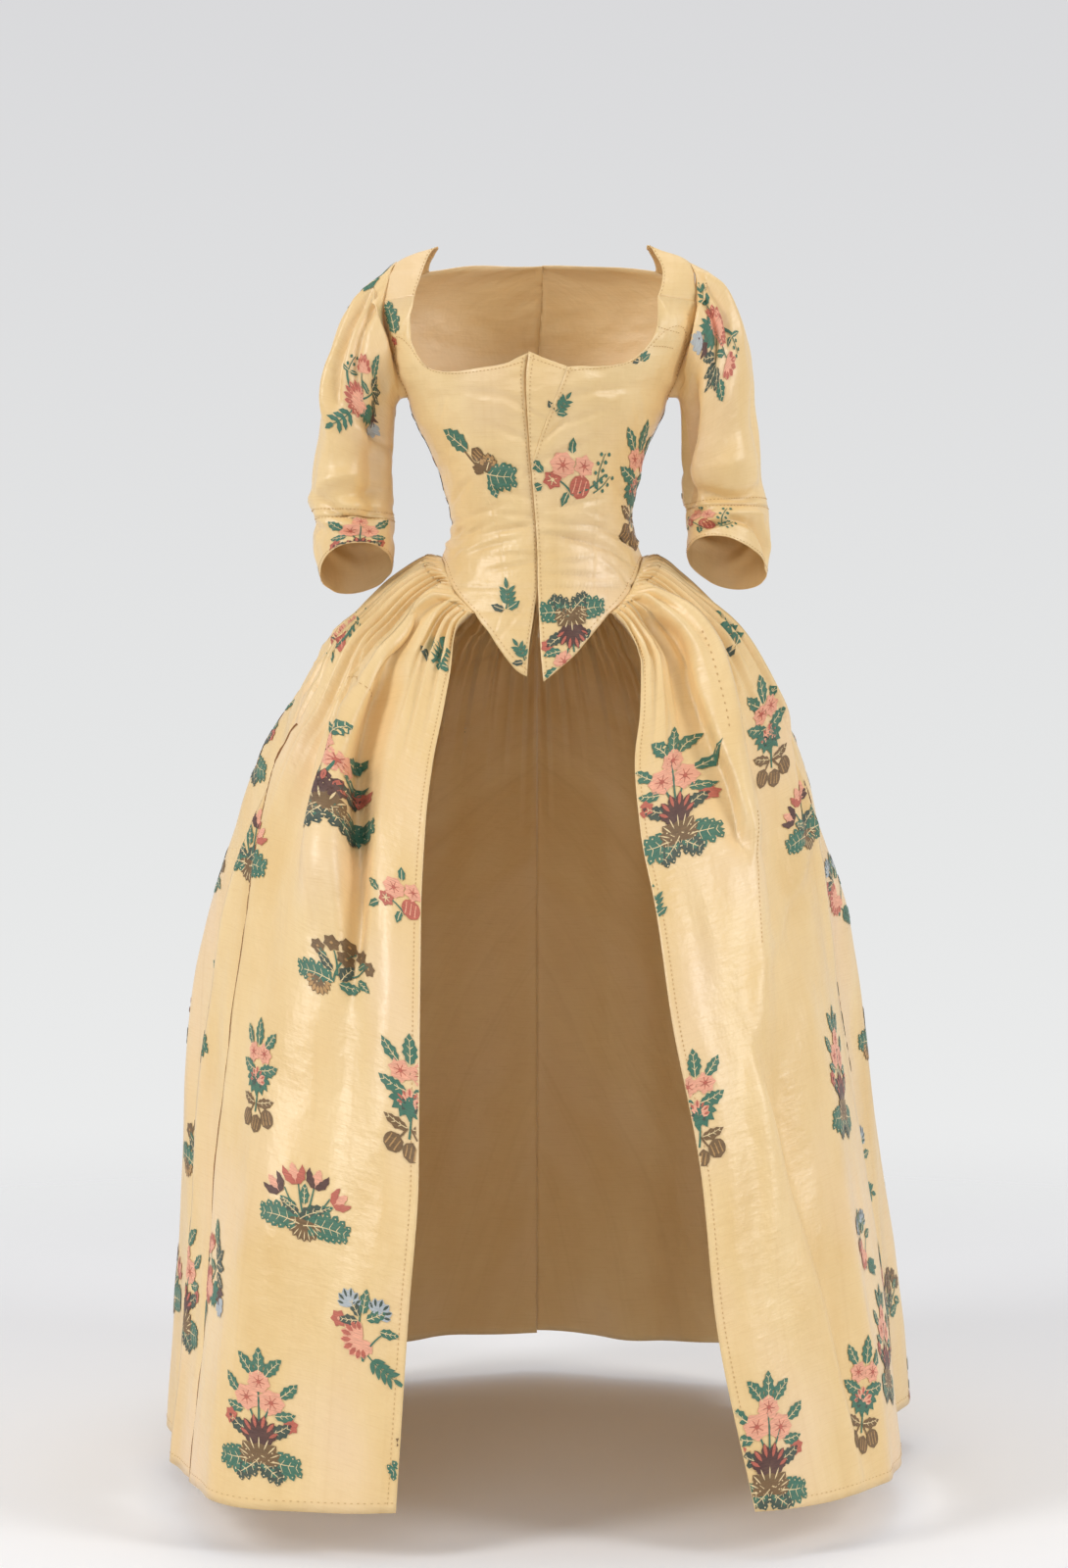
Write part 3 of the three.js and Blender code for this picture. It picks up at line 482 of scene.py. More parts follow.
def pleat_tree():
    """Knife pleats: each rises slowly, drops back quickly and dies away downwards. They are uneven, and
    deeper and longer towards the back."""
    tree, given, end = new_tree("knife_pleats", [
        ("Geometry", "NodeSocketGeometry", None),
        ("Pleats", "NodeSocketFloat", 34.0),
        ("Depth", "NodeSocketFloat", 0.004),
        ("Reach", "NodeSocketFloat", 0.2),
        ("Overlap", "NodeSocketFloat", 0.8),
        ("Seed", "NodeSocketFloat", 4.0),
    ])
    share = add(tree, "GeometryNodeInputNamedAttribute", {"data_type": "FLOAT"}, {"Name": "share"})
    fall = add(tree, "GeometryNodeInputNamedAttribute", {"data_type": "FLOAT"}, {"Name": "fall"})
    out = add(tree, "GeometryNodeInputNamedAttribute", {"data_type": "FLOAT_VECTOR"}, {"Name": "out"})
    evenly = add(tree, "ShaderNodeMath", {"operation": "MULTIPLY"},
                 {0: share.outputs["Attribute"], 1: given.outputs["Pleats"]})
    wander = add(tree, "ShaderNodeTexNoise", {"noise_dimensions": "1D"},
                 {"W": evenly.outputs[0], "Scale": 0.45, "Detail": 1.0})
    count = add(tree, "ShaderNodeMath", {"operation": "MULTIPLY_ADD"},
                {0: wander.outputs[0], 1: 1.6, 2: evenly.outputs[0]})
    number = add(tree, "ShaderNodeMath", {"operation": "FLOOR"}, {0: count.outputs[0]})
    seeded = add(tree, "ShaderNodeMath", {"operation": "ADD"},
                 {0: number.outputs[0], 1: given.outputs["Seed"]})
    own = add(tree, "ShaderNodeTexWhiteNoise", {"noise_dimensions": "1D"}, {"W": seeded.outputs[0]})
    varied = add(tree, "ShaderNodeMapRange",
                 inputs={"Value": own.outputs["Value"], "To Min": 0.45, "To Max": 1.35})
    further = add(tree, "ShaderNodeMath", {"operation": "MULTIPLY_ADD"},
                  {0: share.outputs["Attribute"], 1: 0.6, 2: 1.15})
    varied_reach = add(tree, "ShaderNodeMath", {"operation": "MULTIPLY"},
                       {0: varied.outputs[0], 1: further.outputs[0]})
    reach = add(tree, "ShaderNodeMath", {"operation": "MULTIPLY"},
                {0: varied_reach.outputs[0], 1: given.outputs["Reach"]})
    place = add(tree, "ShaderNodeMath", {"operation": "FRACT"}, {0: count.outputs[0]})
    rise = add(tree, "ShaderNodeMapRange", {"interpolation_type": "SMOOTHSTEP"},
               {"Value": place.outputs[0], "From Max": given.outputs["Overlap"],
                "To Min": -1.0, "To Max": 1.0})
    drop = add(tree, "ShaderNodeMapRange", {"interpolation_type": "SMOOTHSTEP"},
               {"Value": place.outputs[0], "From Min": given.outputs["Overlap"], "From Max": 1.0,
                "To Min": 0.0, "To Max": 2.0})
    wave = add(tree, "ShaderNodeMath", {"operation": "SUBTRACT"}, {0: rise.outputs[0], 1: drop.outputs[0]})
    start = add(tree, "ShaderNodeMapRange", {"interpolation_type": "SMOOTHSTEP"},
                {"Value": fall.outputs["Attribute"], "From Max": 0.015})
    fade = add(tree, "ShaderNodeMapRange", {"interpolation_type": "SMOOTHSTEP"},
               {"Value": fall.outputs["Attribute"], "From Min": 0.02, "From Max": reach.outputs[0],
                "To Min": 1.0, "To Max": 0.0})
    both = add(tree, "ShaderNodeMath", {"operation": "MULTIPLY"}, {0: start.outputs[0], 1: fade.outputs[0]})
    deeper = add(tree, "ShaderNodeMath", {"operation": "MULTIPLY"},
                 {0: both.outputs[0], 1: further.outputs[0]})
    deep = add(tree, "ShaderNodeMath", {"operation": "MULTIPLY"},
               {0: deeper.outputs[0], 1: given.outputs["Depth"]})
    size = add(tree, "ShaderNodeMath", {"operation": "MULTIPLY"}, {0: wave.outputs[0], 1: deep.outputs[0]})
    move = add(tree, "ShaderNodeVectorMath", {"operation": "SCALE"},
               {0: out.outputs["Attribute"], "Scale": size.outputs[0]})
    moved = add(tree, "GeometryNodeSetPosition",
                inputs={"Geometry": given.outputs["Geometry"], "Offset": move.outputs[0]})
    tree.links.new(moved.outputs[0], end.inputs[0])
    return tree


def sprig_tree():
    """Lays a flat pattern on a piece of cloth by the cloth's own map, and drops what falls past its edge."""
    tree, given, end = new_tree("brocaded_sprigs", [
        ("Geometry", "NodeSocketGeometry", None),
        ("Cloth", "NodeSocketObject", None),
        ("Lift", "NodeSocketFloat", 0.0003),
        ("Thread", "NodeSocketMaterial", None),
    ])
    cloth = add(tree, "GeometryNodeObjectInfo", {"transform_space": "RELATIVE"},
                {"Object": given.outputs["Cloth"]})
    on_map = add(tree, "GeometryNodeInputNamedAttribute", {"data_type": "FLOAT_VECTOR"}, {"Name": "cloth"})
    spot = add(tree, "GeometryNodeInputPosition")
    height = add(tree, "ShaderNodeSeparateXYZ", inputs={0: spot.outputs[0]})
    position = add(tree, "GeometryNodeInputPosition")
    normal = add(tree, "GeometryNodeInputNormal")
    found = add(tree, "GeometryNodeSampleUVSurface", {"data_type": "FLOAT_VECTOR"},
                {"Mesh": cloth.outputs["Geometry"], "Value": position.outputs[0],
                 "UV Map": on_map.outputs["Attribute"], "Sample UV": spot.outputs[0]})
    facing = add(tree, "GeometryNodeSampleUVSurface", {"data_type": "FLOAT_VECTOR"},
                 {"Mesh": cloth.outputs["Geometry"], "Value": normal.outputs[0],
                  "UV Map": on_map.outputs["Attribute"], "Sample UV": spot.outputs[0]})
    missed = add(tree, "FunctionNodeBooleanMath", {"operation": "NOT"}, {0: found.outputs["Is Valid"]})
    kept = add(tree, "GeometryNodeDeleteGeometry", {"domain": "POINT"},
               {"Geometry": given.outputs["Geometry"], "Selection": missed.outputs[0]})
    lift = add(tree, "ShaderNodeMath", {"operation": "ADD"},
               {0: given.outputs["Lift"], 1: height.outputs["Z"]})
    raised = add(tree, "ShaderNodeVectorMath", {"operation": "SCALE"},
                 {0: facing.outputs["Value"], "Scale": lift.outputs[0]})
    place = add(tree, "ShaderNodeVectorMath", {"operation": "ADD"},
                {0: found.outputs["Value"], 1: raised.outputs[0]})
    laid = add(tree, "GeometryNodeSetPosition",
               inputs={"Geometry": kept.outputs[0], "Position": place.outputs[0]})
    real = add(tree, "GeometryNodeRealizeInstances", inputs={0: laid.outputs[0]})
    worked = add(tree, "GeometryNodeSetMaterial",
                 inputs={"Geometry": real.outputs[0], "Material": given.outputs["Thread"]})
    tree.links.new(worked.outputs[0], end.inputs[0])
    return tree


def stitch_tree():
    """Running stitches along lines drawn flat: a short rounded thread at each step of the needle."""
    tree, given, end = new_tree("running_stitches", [
        ("Geometry", "NodeSocketGeometry", None),
        ("Step", "NodeSocketFloat", 0.004),
        ("Length", "NodeSocketFloat", 0.0026),
        ("Radius", "NodeSocketFloat", 0.0004),
    ])
    line = add(tree, "GeometryNodeMeshToCurve", inputs={0: given.outputs["Geometry"]})
    steps = add(tree, "GeometryNodeResampleCurve", {"mode": "LENGTH"},
                {"Curve": line.outputs[0], "Length": given.outputs["Step"]})
    stitch = add(tree, "GeometryNodeMeshUVSphere",
                 inputs={"Segments": 5, "Rings": 4, "Radius": given.outputs["Radius"]})
    long = add(tree, "ShaderNodeMath", {"operation": "DIVIDE"},
               {0: given.outputs["Length"], 1: given.outputs["Radius"]})
    half = add(tree, "ShaderNodeMath", {"operation": "MULTIPLY"}, {0: long.outputs[0], 1: 0.5})
    size = add(tree, "ShaderNodeCombineXYZ", inputs={"X": 1.0, "Y": 1.0, "Z": half.outputs[0]})
    tangent = add(tree, "GeometryNodeInputTangent")
    turn = add(tree, "FunctionNodeAlignEulerToVector", {"axis": "Z"}, {"Vector": tangent.outputs[0]})
    placed = add(tree, "GeometryNodeInstanceOnPoints",
                 inputs={"Points": steps.outputs[0], "Instance": stitch.outputs[0],
                         "Rotation": turn.outputs[0], "Scale": size.outputs[0]})
    real = add(tree, "GeometryNodeRealizeInstances", inputs={0: placed.outputs[0]})
    tree.links.new(real.outputs[0], end.inputs[0])
    return tree


PLEATS, SPRIGS, STITCHES = pleat_tree(), sprig_tree(), stitch_tree()

# ---- finishes ----


# Patterns on the cloth, as repeats in a metre across it and down it.
TONES = (9, 4, 1)              # slow changes of colour, 110 by 250 mm
PAINTED_SHEEN_PATCHES = (5, 3, 1)            # paler, pinker patches of painted sheen, 200 by 330 mm
SLUBS = (26, 620, 1)           # 0.4 to 1 mm thick in the weave, but drawn 1.6 mm thick so that they show
BARS = (70, 0.8, 1)            # lengthwise bars 14 mm wide
RIBS = (160, 1500, 1)          # crosswise ribs, drawn 0.7 mm apart
CRUMPLES = (16, 11, 1)         # soft crumples, 60 by 90 mm
PUCKERS = (34, 90, 1)          # small puckers, 30 by 11 mm
FLOSS_ROWS = (90, 1300, 1)     # rows of floss 0.8 mm apart
FLOSS_FADING = (60, 60, 1)     # dye that has faded in spots of 17 mm
TWIST = (900, 900, 2600)       # bands of a twisted thread, 0.4 mm apart
SILK_IOR = 1.54


def streaks(tree, place, scale, detail):
    """Noise drawn out along one direction, as slubs and ribs in cloth are."""
    stretched = add(tree, "ShaderNodeMapping", inputs={"Vector": place, "Scale": scale})
    noise = add(tree, "ShaderNodeTexNoise", inputs={"Vector": stretched.outputs[0], "Scale": 1.0,
                                                    "Detail": detail, "Roughness": 0.6})
    return noise.outputs[0]


def silk_taffeta(name, light, deep, peach, shade, roughness, sheen):
    """Silk taffeta: a crisp plain weave with fine crosswise ribs and slubs and a soft wide gloss. Its warm
    ground is uneven from age and handling, deeper in places, and has paler, pinker patches: painted sheen."""
    material, tree = new_material(name)
    place = add(tree, "ShaderNodeUVMap", {"uv_map": "cloth"}).outputs[0]
    tone = add(tree, "ShaderNodeMapRange",
               inputs={"Value": streaks(tree, place, TONES, 4.0), "From Min": 0.32, "From Max": 0.68})
    ground = add(tree, "ShaderNodeMix", {"data_type": "RGBA"},
                 {0: tone.outputs[0], 6: linear(light), 7: linear(deep)})
    # Paler, pinker patches in the colour of the gloss, laid in at random: painted sheen.
    patches = add(tree, "ShaderNodeMapRange",
                  inputs={"Value": streaks(tree, place, PAINTED_SHEEN_PATCHES, 2.0), "From Min": 0.48, "From Max": 0.74})
    sheen_patched = add(tree, "ShaderNodeMix", {"data_type": "RGBA"},
               {0: patches.outputs[0], 6: ground.outputs[2], 7: linear(peach)})
    slubs = streaks(tree, place, SLUBS, 3.0)
    worn = add(tree, "ShaderNodeMapRange",
               inputs={"Value": slubs, "From Min": 0.52, "From Max": 0.8, "To Min": 0.0, "To Max": 0.28})
    slubbed = add(tree, "ShaderNodeMix", {"data_type": "RGBA"},
                  {0: worn.outputs[0], 6: sheen_patched.outputs[2], 7: linear(shade)})
    # Faint lengthwise bars where the warp was a little slacker.
    bars = add(tree, "ShaderNodeMapRange",
               inputs={"Value": streaks(tree, place, BARS, 2.0), "From Min": 0.55, "From Max": 0.8,
                       "To Min": 0.0, "To Max": 0.22})
    barred = add(tree, "ShaderNodeMix", {"data_type": "RGBA"},
                 {0: bars.outputs[0], 6: slubbed.outputs[2], 7: linear(shade)})
    gloss = add(tree, "ShaderNodeMapRange",
                inputs={"Value": slubs, "From Min": 0.25, "From Max": 0.75,
                        "To Min": roughness - 0.05, "To Max": roughness + 0.08})
    crumples = add(tree, "ShaderNodeBump",
                   inputs={"Strength": 0.6, "Distance": 0.006,
                           "Height": streaks(tree, place, CRUMPLES, 4.0)})
    puckers = add(tree, "ShaderNodeBump",
                  inputs={"Strength": 0.28, "Distance": 0.003,
                          "Height": streaks(tree, place, PUCKERS, 3.0), "Normal": crumples.outputs[0]})
    ribs = add(tree, "ShaderNodeMath", {"operation": "ADD"},
               {0: streaks(tree, place, RIBS, 1.0), 1: slubs})
    woven = add(tree, "ShaderNodeBump",
                inputs={"Strength": 0.2, "Distance": 0.0005, "Height": ribs.outputs[0],
                        "Normal": puckers.outputs[0]})
    silk = add(tree, "ShaderNodeBsdfPrincipled",
               inputs={"Base Color": barred.outputs[2], "Roughness": gloss.outputs[0], "IOR": SILK_IOR,
                       "Specular IOR Level": 0.6, "Anisotropic": 0.4, "Sheen Weight": sheen,
                       "Sheen Roughness": 0.35, "Sheen Tint": linear("#FFE9D6"),
                       "Normal": woven.outputs[0]})
    add(tree, "ShaderNodeOutputMaterial", inputs={"Surface": silk.outputs[0]})
    return material


def brocading_floss():
    """Loose silk floss laid across the cloth: dyed threads in close rows, softer and less glossy."""
    material, tree = new_material("brocading_floss")
    place = add(tree, "ShaderNodeUVMap", {"uv_map": "cloth"}).outputs[0]
    dye = add(tree, "ShaderNodeAttribute", {"attribute_name": "dye"}).outputs["Color"]
    rows = streaks(tree, place, FLOSS_ROWS, 2.0)
    faded = streaks(tree, place, FLOSS_FADING, 3.0)
    lighter = add(tree, "ShaderNodeMix", {"data_type": "RGBA"}, {0: 0.12, 6: dye, 7: linear("#EBCB98")})
    colour = add(tree, "ShaderNodeMix", {"data_type": "RGBA"}, {0: faded, 6: dye, 7: lighter.outputs[2]})
    # The floss is darker where its rows dip and a little lighter on their crests, following the bump: painted
    # shade and light of the rows.
    dark = add(tree, "ShaderNodeMapRange",
               inputs={"Value": rows, "From Min": 0.35, "From Max": 0.65, "To Min": 0.72, "To Max": 1.08})
    shade = add(tree, "ShaderNodeVectorMath", {"operation": "SCALE"},
                {0: colour.outputs[2], "Scale": dark.outputs[0]})
    bump = add(tree, "ShaderNodeBump", inputs={"Strength": 0.5, "Distance": 0.0006, "Height": rows})
    floss = add(tree, "ShaderNodeBsdfPrincipled",
                inputs={"Base Color": shade.outputs[0], "Roughness": 0.55, "IOR": SILK_IOR,
                        "Sheen Weight": 0.08, "Sheen Roughness": 0.4, "Normal": bump.outputs[0]})
    add(tree, "ShaderNodeOutputMaterial", inputs={"Surface": floss.outputs[0]})
    return material


def sewing_thread(name, light, dark):
    """Fine two-ply silk thread: its twist shows as close bands of a paler and a darker tone."""
    material, tree = new_material(name)
    place = add(tree, "ShaderNodeTexCoord").outputs["Object"]
    twist = streaks(tree, place, TWIST, 1.0)
    colour = add(tree, "ShaderNodeMix", {"data_type": "RGBA"}, {0: twist, 6: linear(light), 7: linear(dark)})
    thread = add(tree, "ShaderNodeBsdfPrincipled",
                 inputs={"Base Color": colour.outputs[2], "Roughness": 0.6})
    add(tree, "ShaderNodeOutputMaterial", inputs={"Surface": thread.outputs[0]})
    return material


SILK = silk_taffeta("silk_taffeta", "#F4D69F", "#E8C486", "#F3D3AA", "#D8AE6E", 0.36, 0.22)
REVERSE = silk_taffeta("silk_taffeta_reverse", "#F0D29C", "#E6C288", "#EED0A2", "#D0AA70", 0.52, 0.15)
FLOSS = brocading_floss()
THREAD = sewing_thread("sewing_thread", "#D9B67C", "#B98F58")
# The seam thread's dark brown is partly painted shadow: it draws the shadow line along a fold's edge on the
# skirt.
SHADOW_LINE_THREAD = sewing_thread("seam_thread_painted_shadow", "#9C6428", "#7C4C1C")

# ---- cloth on the body ----


def torso_point(places):
    """Points on the bodice at places given as a turn from centre front and a height."""
    turn = np.radians(places[..., 0])
    row = rows_at(TORSO, "height", places[..., 1])
    fore = np.where(np.cos(turn) > 0, -row["front"], -row["back"]) * np.cos(turn)
    return np.stack([row["middle"] + row["half"] * np.sin(turn), fore, places[..., 1]], -1)


def turn_at(across, height, behind=False):
    """The turn from centre front of a point at a distance across, in front or behind."""
    row = rows_at(TORSO, "height", height)
    turn = np.degrees(np.arcsin(np.clip((np.asarray(across, float) - row["middle"]) / row["half"], -1, 1)))
    return np.where(turn < 0, -180 - turn, 180 - turn) if behind else turn


def torso_map(places):
    """The bodice's map: length round the body from the middle line, and height."""
    turn = np.radians(places[..., 0])
    row = rows_at(TORSO, "height", places[..., 1])
    t = np.linspace(0, 1, 41)[:, None, None] * turn
    fore = np.where(np.cos(t) > 0, row["front"], row["back"])
    speed = np.hypot(row["half"] * np.cos(t), fore * np.sin(t))
    return np.stack([turn * (speed[1:] + speed[:-1]).mean(axis=0) / 2, places[..., 1]], -1)


def seam_height(turn):
    return rows_at(WAIST_SEAM, "turn", np.abs(turn))["height"]


def front_place(point):
    """A sideways distance and a height on the front, as a turn and a height."""
    return [float(turn_at(point[0], point[1])), point[1]]


def back_place(side, across, height):
    """A distance from the middle of the back and a height, as a turn and a height."""
    if across == 0:
        return [side * 180, height]
    middle = rows_at(TORSO, "height", height)["middle"]
    return [float(turn_at(middle + side * across, height, behind=True)), height]


def centre_place(side, height):
    return front_place((float(rows_at(CENTRE_LINE, "height", height)[SIDES[side]]), height))


def straight(start, finish, count):
    t = np.linspace(0, 1, count + 1)[:, None]
    return np.asarray(start, float) * (1 - t) + np.asarray(finish, float) * t


def on_waist_seam(side, turns):
    return np.stack([side * turns, seam_height(turns)], -1)


def patch(top, bottom, start, finish):
    """A patch between four edges that follows all four."""
    v = np.linspace(0, 1, len(start))[:, None, None]
    u = np.linspace(0, 1, len(top))[None, :, None]
    return ((1 - v) * top[None] + v * bottom[None] + (1 - u) * start[:, None] + u * finish[:, None]
            - (1 - u) * (1 - v) * top[0] - u * (1 - v) * top[-1]
            - (1 - u) * v * bottom[0] - u * v * bottom[-1])


def untangled(grid, rounds):
    """Moves a patch's inner points, round by round, until its rows and columns no longer cross."""
    grid = grid.copy()
    for _ in range(rounds):
        u = (grid[1:-1, 2:] - grid[1:-1, :-2]) / 2
        v = (grid[2:, 1:-1] - grid[:-2, 1:-1]) / 2
        twist = (grid[2:, 2:] - grid[2:, :-2] - grid[:-2, 2:] + grid[:-2, :-2]) / 4
        a, b, c = ((p * q).sum(-1, keepdims=True) for p, q in ((v, v), (u, v), (u, u)))
        beside = grid[1:-1, 2:] + grid[1:-1, :-2]
        above = grid[2:, 1:-1] + grid[:-2, 1:-1]
        grid[1:-1, 1:-1] = (a * beside + c * above - 2 * b * twist) / (2 * (a + c))
    return grid


def finer(points, times, corners=()):
    """A smooth curve through points with this many steps between each two."""
    return smooth(points, np.linspace(0, len(points) - 1, (len(points) - 1) * times + 1), corners)


underarm = {side: (side * SIDE_SEAM, UNDERARM) for side in SIDES}


def front_top(side):
    return [front_place(point) for point in FRONT_TOP[side]] + [underarm[side]]


def down_to_waist(start, side, turn):
    """A seam straight down the body from its upper end to a turn on the waist seam."""
    return straight(start, on_waist_seam(side, np.array([turn]))[0], BODICE_ROWS)


def side_seam(side):
    return down_to_waist(underarm[side], side, SIDE_SEAM)


def back_seam(side):
    return down_to_waist(back_place(side, *ARMHOLE_BACK[0]), side, BACK_SEAM)


def waist_between(piece, side, first, last):
    """A piece's edge on the waist seam, from one turn to another."""
    return on_waist_seam(side, np.linspace(first, last, STRIPS[piece] * FINE + 1))


def front_places(side):
    top = finer(front_top(side), FINE, corners=(STRAP_INSIDE, STRAP_INSIDE + 2))
    point_edge = finer([front_place(p) for p in POINT_EDGE[side]], FINE)
    seam = waist_between("front", side, SKIRT_START, SIDE_SEAM)
    join = np.linspace(point_edge[-1], seam[0], FINE + 1)[1:-1]
    bottom = np.concatenate([point_edge, join, seam])
    tip, start = point_edge[0][1], top[0][1]
    if side == RIGHT:
        closing = np.array([centre_place(side, h) for h in np.linspace(start, tip, BODICE_ROWS + 1)])
    else:
        slant = finer([front_place(p) for p in WEDGE_SEAM], BODICE_ROWS // 10)
        below = np.linspace(slant[-1][1], tip, BODICE_ROWS - len(slant) + 2)[1:]
        closing = np.concatenate([slant, [centre_place(side, h) for h in below]])
    return untangled(patch(top, bottom, closing, side_seam(side)), 700)


def wedge_places():
    slant = finer([front_place(p) for p in WEDGE_SEAM], 12)
    heights = np.linspace(CLOSING_TOP, slant[-1][1], len(slant))
    closing = np.array([centre_place(LEFT, h) for h in heights])
    t = np.linspace(0, 1, 17)[None, :, None]
    return closing[:, None] * (1 - t) + slant[:, None] * t


def side_places(side):
    start, finish = np.array(underarm[side]), np.array(back_place(side, *ARMHOLE_BACK[0]))
    bottom = waist_between("side", side, SIDE_SEAM, BACK_SEAM)
    t = np.linspace(0, 1, len(bottom))
    top = np.stack([start[0] + (finish[0] - start[0]) * t, start[1] + (finish[1] - start[1]) * t ** 2], -1)
    return patch(top, bottom, side_seam(side), back_seam(side))


def strap_edges(side):
    inner = np.array([(side * turn, height) for turn, height in STRAP_INNER], float)
    outer = np.array([(side * turn, height) for turn, height in STRAP_OUTER], float)
    inner[0], outer[0] = front_top(side)[STRAP_INSIDE], front_top(side)[STRAP_INSIDE + 2]
    return inner, outer


def strap_places(side):
    inner, outer = (finer(edge, 12) for edge in strap_edges(side))
    t = np.linspace(0, 1, 25)[None, :, None]
    return inner[:, None] * (1 - t) + outer[:, None] * t


def back_top(side):
    inner, outer = (edge[-1] for edge in strap_edges(side))
    armhole = [back_place(side, *point) for point in ARMHOLE_BACK]
    neck = [back_place(side, *point) for point in BACK_NECK]
    return [*armhole, outer, (inner + outer) / 2, inner, *neck]


def back_places(side):
    strap = len(ARMHOLE_BACK)
    top = finer(back_top(side), FINE, corners=(strap, strap + 2))
    bottom = waist_between("back", side, BACK_SEAM, 180)
    centre = straight(top[-1], bottom[-1], BODICE_ROWS)
    return untangled(patch(top, bottom, back_seam(side), centre), 300)


def armhole_loop(side):
    """The armhole: up the front, over the strap, down the back and under the arm."""
    front = np.array(front_top(side)[STRAP_INSIDE + 2:])[::-1]
    strap = strap_edges(side)[1][1:-1]
    back = np.array(back_top(side)[:len(ARMHOLE_BACK) + 1])[::-1]
    start, finish = np.array(underarm[side]), back[-1]
    under = [(start[0] + (finish[0] - start[0]) * t, start[1] + (finish[1] - start[1]) * t * t)
             for t in (0.75, 0.5, 0.25)]
    return np.concatenate([front, strap, back, under])


def sleeve_ring(side, rings, angles):
    """Rings of a sleeve at rows of its table, each point at an angle round the arm."""
    name = SIDES[side]
    out, out_up = rings[name][:, None], rings[name + "_up"][:, None]
    inner, inner_up = rings[name + "_in"][:, None], rings[name + "_in_up"][:, None]
    deep, lean, rise = (rings[k][:, None] for k in ("deep", "lean", "rise"))
    c, s = np.cos(angles), np.sin(angles)
    return np.stack([side * ((out + inner) / 2 + (out - inner) / 2 * c), lean - deep * s,
                     (out_up + inner_up) / 2 + (out_up - inner_up) / 2 * c + rise * s], -1)


def sleeve_tube(side, rings, rows, angles):
    """Rows of a sleeve's points, spread evenly over the rings of its table."""
    last = len(rings["deep"]) - 1
    keyed = {**rings, "ring": np.arange(last + 1)}
    return sleeve_ring(side, rows_at(keyed, "ring", np.linspace(0, last, rows)), angles)


def sleeve_grids(side):
    """The upper sleeve from the armhole down, and the elbow piece below it. Their columns start at the
    armhole's points, whose angles are taken with its height a quarter less, so that none are crowded."""
    first = torso_point(armhole_loop(side)[None])[0] + (side * SEAM_GAP, 0, 0)
    middle = first.mean(axis=0)
    turns = np.unwrap(np.arctan2(-(first[:, 1] - middle[1]), (first[:, 2] - middle[2]) * 0.75))
    closed = np.concatenate([first, first[:1]])
    turns = np.append(turns, turns[0] + math.copysign(2 * math.pi, turns[-1] - turns[0]))
    at = np.linspace(0, len(first), len(first) * FINE, endpoint=False)
    wrapped = np.concatenate([first[-1:], closed, first[1:2]])
    around = np.concatenate([[2 * turns[0] - turns[1]], turns, [2 * turns[-1] - turns[-2]]])
    rim = smooth(wrapped, at + 1)
    angles = smooth(around[:, None], at + 1)[:, 0]
    upper = sleeve_tube(side, SLEEVE, SLEEVE_ROWS, angles)
    lower = sleeve_tube(side, ELBOW, ELBOW_ROWS, angles)
    # The head of the sleeve leads from the armhole to the first ring and swells a little on the way.
    lead = np.linspace(0, 1, CAP_ROWS + 1)[:-1, None, None]
    cap = rim[None] * (1 - lead) + upper[0][None] * lead
    cap = cap + (upper[0] - rim) * (np.sin(lead * math.pi) * 0.12)
    return np.concatenate([cap, upper]), lower


def tube_map(grid, start=0.0):
    """A sleeve's map: length round it from its outer line, and length down it."""
    loop = np.concatenate([grid, grid[:, :1]], axis=1)
    around = lengths(loop, 1)
    down = np.linalg.norm(np.diff(loop, axis=0), axis=-1).mean(axis=1, keepdims=True)
    down = start + np.concatenate([[[0.0]], np.cumsum(down, axis=0)])
    return np.stack([around - around[:, -1:] / 2, np.broadcast_to(down, around.shape)], -1)


# ---- the skirt's surface ----
SKIRT_COLUMNS = SKIRT_STRIPS * FINE
RING_POINTS = 721              # points on half a ring before its columns are spaced evenly
BACK_SQUARE = 2.2              # squareness of each ring behind, where 2 is an ellipse
ROW_SPREAD = 1.3               # above 1 the rows lie closer together at the waist
PLEAT_COUNT = 46.0             # in half the skirt
PLEAT_DEPTH = 5.2              # half of a middling pleat, from its trough to its ridge
PLEAT_REACH = 250              # how far down a middling pleat dies away


def half_ring(side, ring):
    """Half of one ring in plan, from the front edge round to the centre back, with outward normals."""
    half = ring[SIDES[side]]
    edge = ring["edge_" + SIDES[side]]
    start = math.asin((abs(edge - ring["middle_x"]) / half) ** (ring["square"] / 2))
    t = np.linspace(start, math.pi, RING_POINTS)
    power = 2 / np.where(np.cos(t) > 0, ring["square"], BACK_SQUARE)
    out = half * np.maximum(np.sin(t), 0) ** power
    depth = np.where(np.cos(t) > 0, -(ring["front"] + ring["middle_y"]), ring["back"] - ring["middle_y"])
    fore = ring["middle_y"] + depth * np.abs(np.cos(t)) ** power
    plan = np.stack([ring["middle_x"] + side * out, fore], -1)
    run = lengths(plan, 0)
    shares = np.linspace(0, run[-1], SKIRT_COLUMNS + 1)
    points = np.stack([np.interp(shares, run, plan[:, k]) for k in (0, 1)], -1)
    along = np.gradient(points, axis=0)
    along /= np.linalg.norm(along, axis=-1, keepdims=True)
    return points, np.stack([-side * along[:, 1], side * along[:, 0]], -1)


def fold_depth(folds, share, height):
    """How far the largest folds move the cloth out at a share of the ring and a height."""
    total = np.zeros(np.broadcast(share, height).shape)
    for at, width, depth, top, bottom in zip(*folds.values()):
        fade = smooth_step(-FOLD_FADE, 0, top - height) * smooth_step(-FOLD_FADE, 0, height - bottom)
        total += depth * np.exp(-((share - at) / width) ** 2) * fade
    return total


